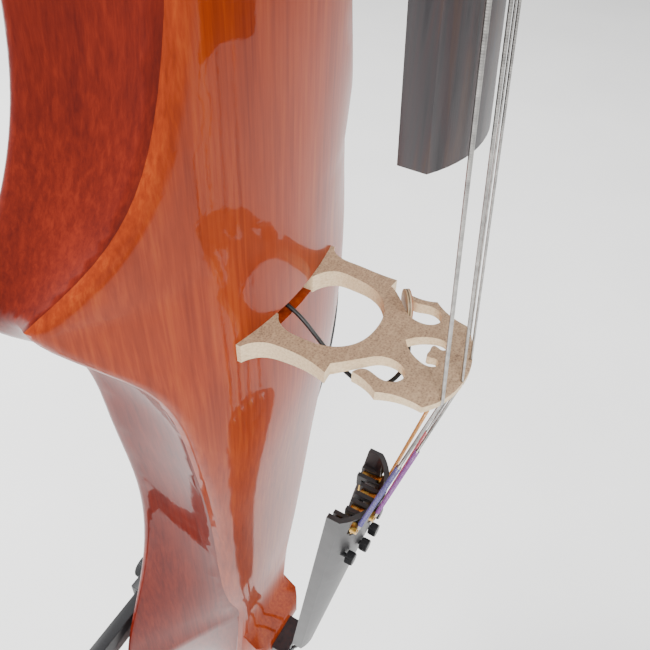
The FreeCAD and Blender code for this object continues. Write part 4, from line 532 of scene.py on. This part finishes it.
dimples = node(tree, "ShaderNodeBump", {"Height": cells.outputs[0], "Strength": 0.4, "Distance": 0.0006})
end_material(tree, {"Base Color": ramp(tree, cells.outputs[0], [(0.1, "#19191B"), (0.6, "#29292C")]),
                    "Roughness": 0.85,
                    "Sheen Weight": 0.2, "Normal": dimples.outputs[0]})
for side in ("left", "right"):
    finished("knee_bracket_" + side, nylon, sharp=30, round_off=0.0006)
    finished("knee_arm_" + side, black_metal, sharp=30, round_off=0.0008)
    finished("knee_pad_" + side, rubber, sharp=30, round_off=0.0008)
finished("chest_bracket", nylon, sharp=30, round_off=0.0006)
finished("chest_post", black_metal, sharp=40)
finished("chest_pad", foam, sharp=30, round_off=0.0015)
for name, axis in (("endpin_screw", 0), ("knee_screw_left", 1), ("knee_screw_right", 1), ("chest_screw", 0)):
    finished(name, black_metal, sharp=35, round_off=0.0004)
knurled("endpin_screw_grip", "endpin_screw", 0, black_metal, 40, 0.0006, (0.62, 0.99))
knurled("chest_screw_grip", "chest_screw", 0, black_metal, 40, 0.0006, (0.64, 0.99))
for side in ("left", "right"):
    knurled("knee_screw_grip_" + side, "knee_screw_" + side, 1, black_metal, 40, 0.0006,
            (0.5, 0.99))
for name in ("bracket_screws", "panel_screws"):
    finished(name, steel, sharp=30)


# ---- Controls and battery tray
# A moulded ABS plate with a fine spark texture, plain knobs with a ridged grip, nickel-plated jacks,
# a green fibreglass board behind it and a sprung drawer for the 9 V battery.
finished("control_plate", nylon, sharp=30, round_off=0.0003)
for name in ("volume_knob", "tone_knob", "mode_switch", "battery_housing", "battery_drawer"):
    finished(name, nylon, sharp=30, round_off=0.0002)
for name in ("volume_knob", "tone_knob"):
    knurled(name + "_grip", name, 1, nylon, 24, 0.0006, (0.45, 0.97))
board, tree, place = start_material("green_solder_mask_on_fibreglass")
copper = node(tree, "ShaderNodeTexBrick", {"Vector": place, "Scale": 160.0, "Color1": colour("#11562F"),
                                           "Color2": colour("#156A3A"), "Mortar": colour("#0C4224")})
end_material(tree, {"Base Color": copper.outputs[0], "Roughness": 0.3, "IOR": 1.5, "Coat Weight": 0.5})
finished("circuit_board", board, sharp=30)
nickel, tree, place = start_material("nickel_plated_brass")
tone = node(tree, "ShaderNodeTexNoise", {"Vector": place, "Scale": 300.0, "Detail": 3.0})
end_material(tree, {"Base Color": ramp(tree, tone.outputs[0], [(0.3, "#B4B2AC"), (0.7, "#D0CEC8")]),
                    "Metallic": 1.0,
                    "Roughness": 0.22})
for name in ("output_jack", "headphone_jack", "potentiometers"):
    finished(name, nickel, sharp=30)
wrapped, tree, place = start_material("shrink_wrapped_battery_case")
ends = node(tree, "ShaderNodeSeparateXYZ", {0: place}).outputs["X"]
band = node(tree, "ShaderNodeMapRange", {"Value": ends, "From Min": -0.024, "From Max": 0.024})
end_material(tree, {"Base Color": ramp(tree, band.outputs[0], [(0.0, "#1A1B20"), (0.62, "#22242A"),
                                                               (0.66, "#A8742E"),
                                                               (1.0, "#C08A3C")]),
                    "Metallic": 0.6, "Roughness": 0.35})
finished("battery", wrapped, sharp=30, round_off=0.0004)
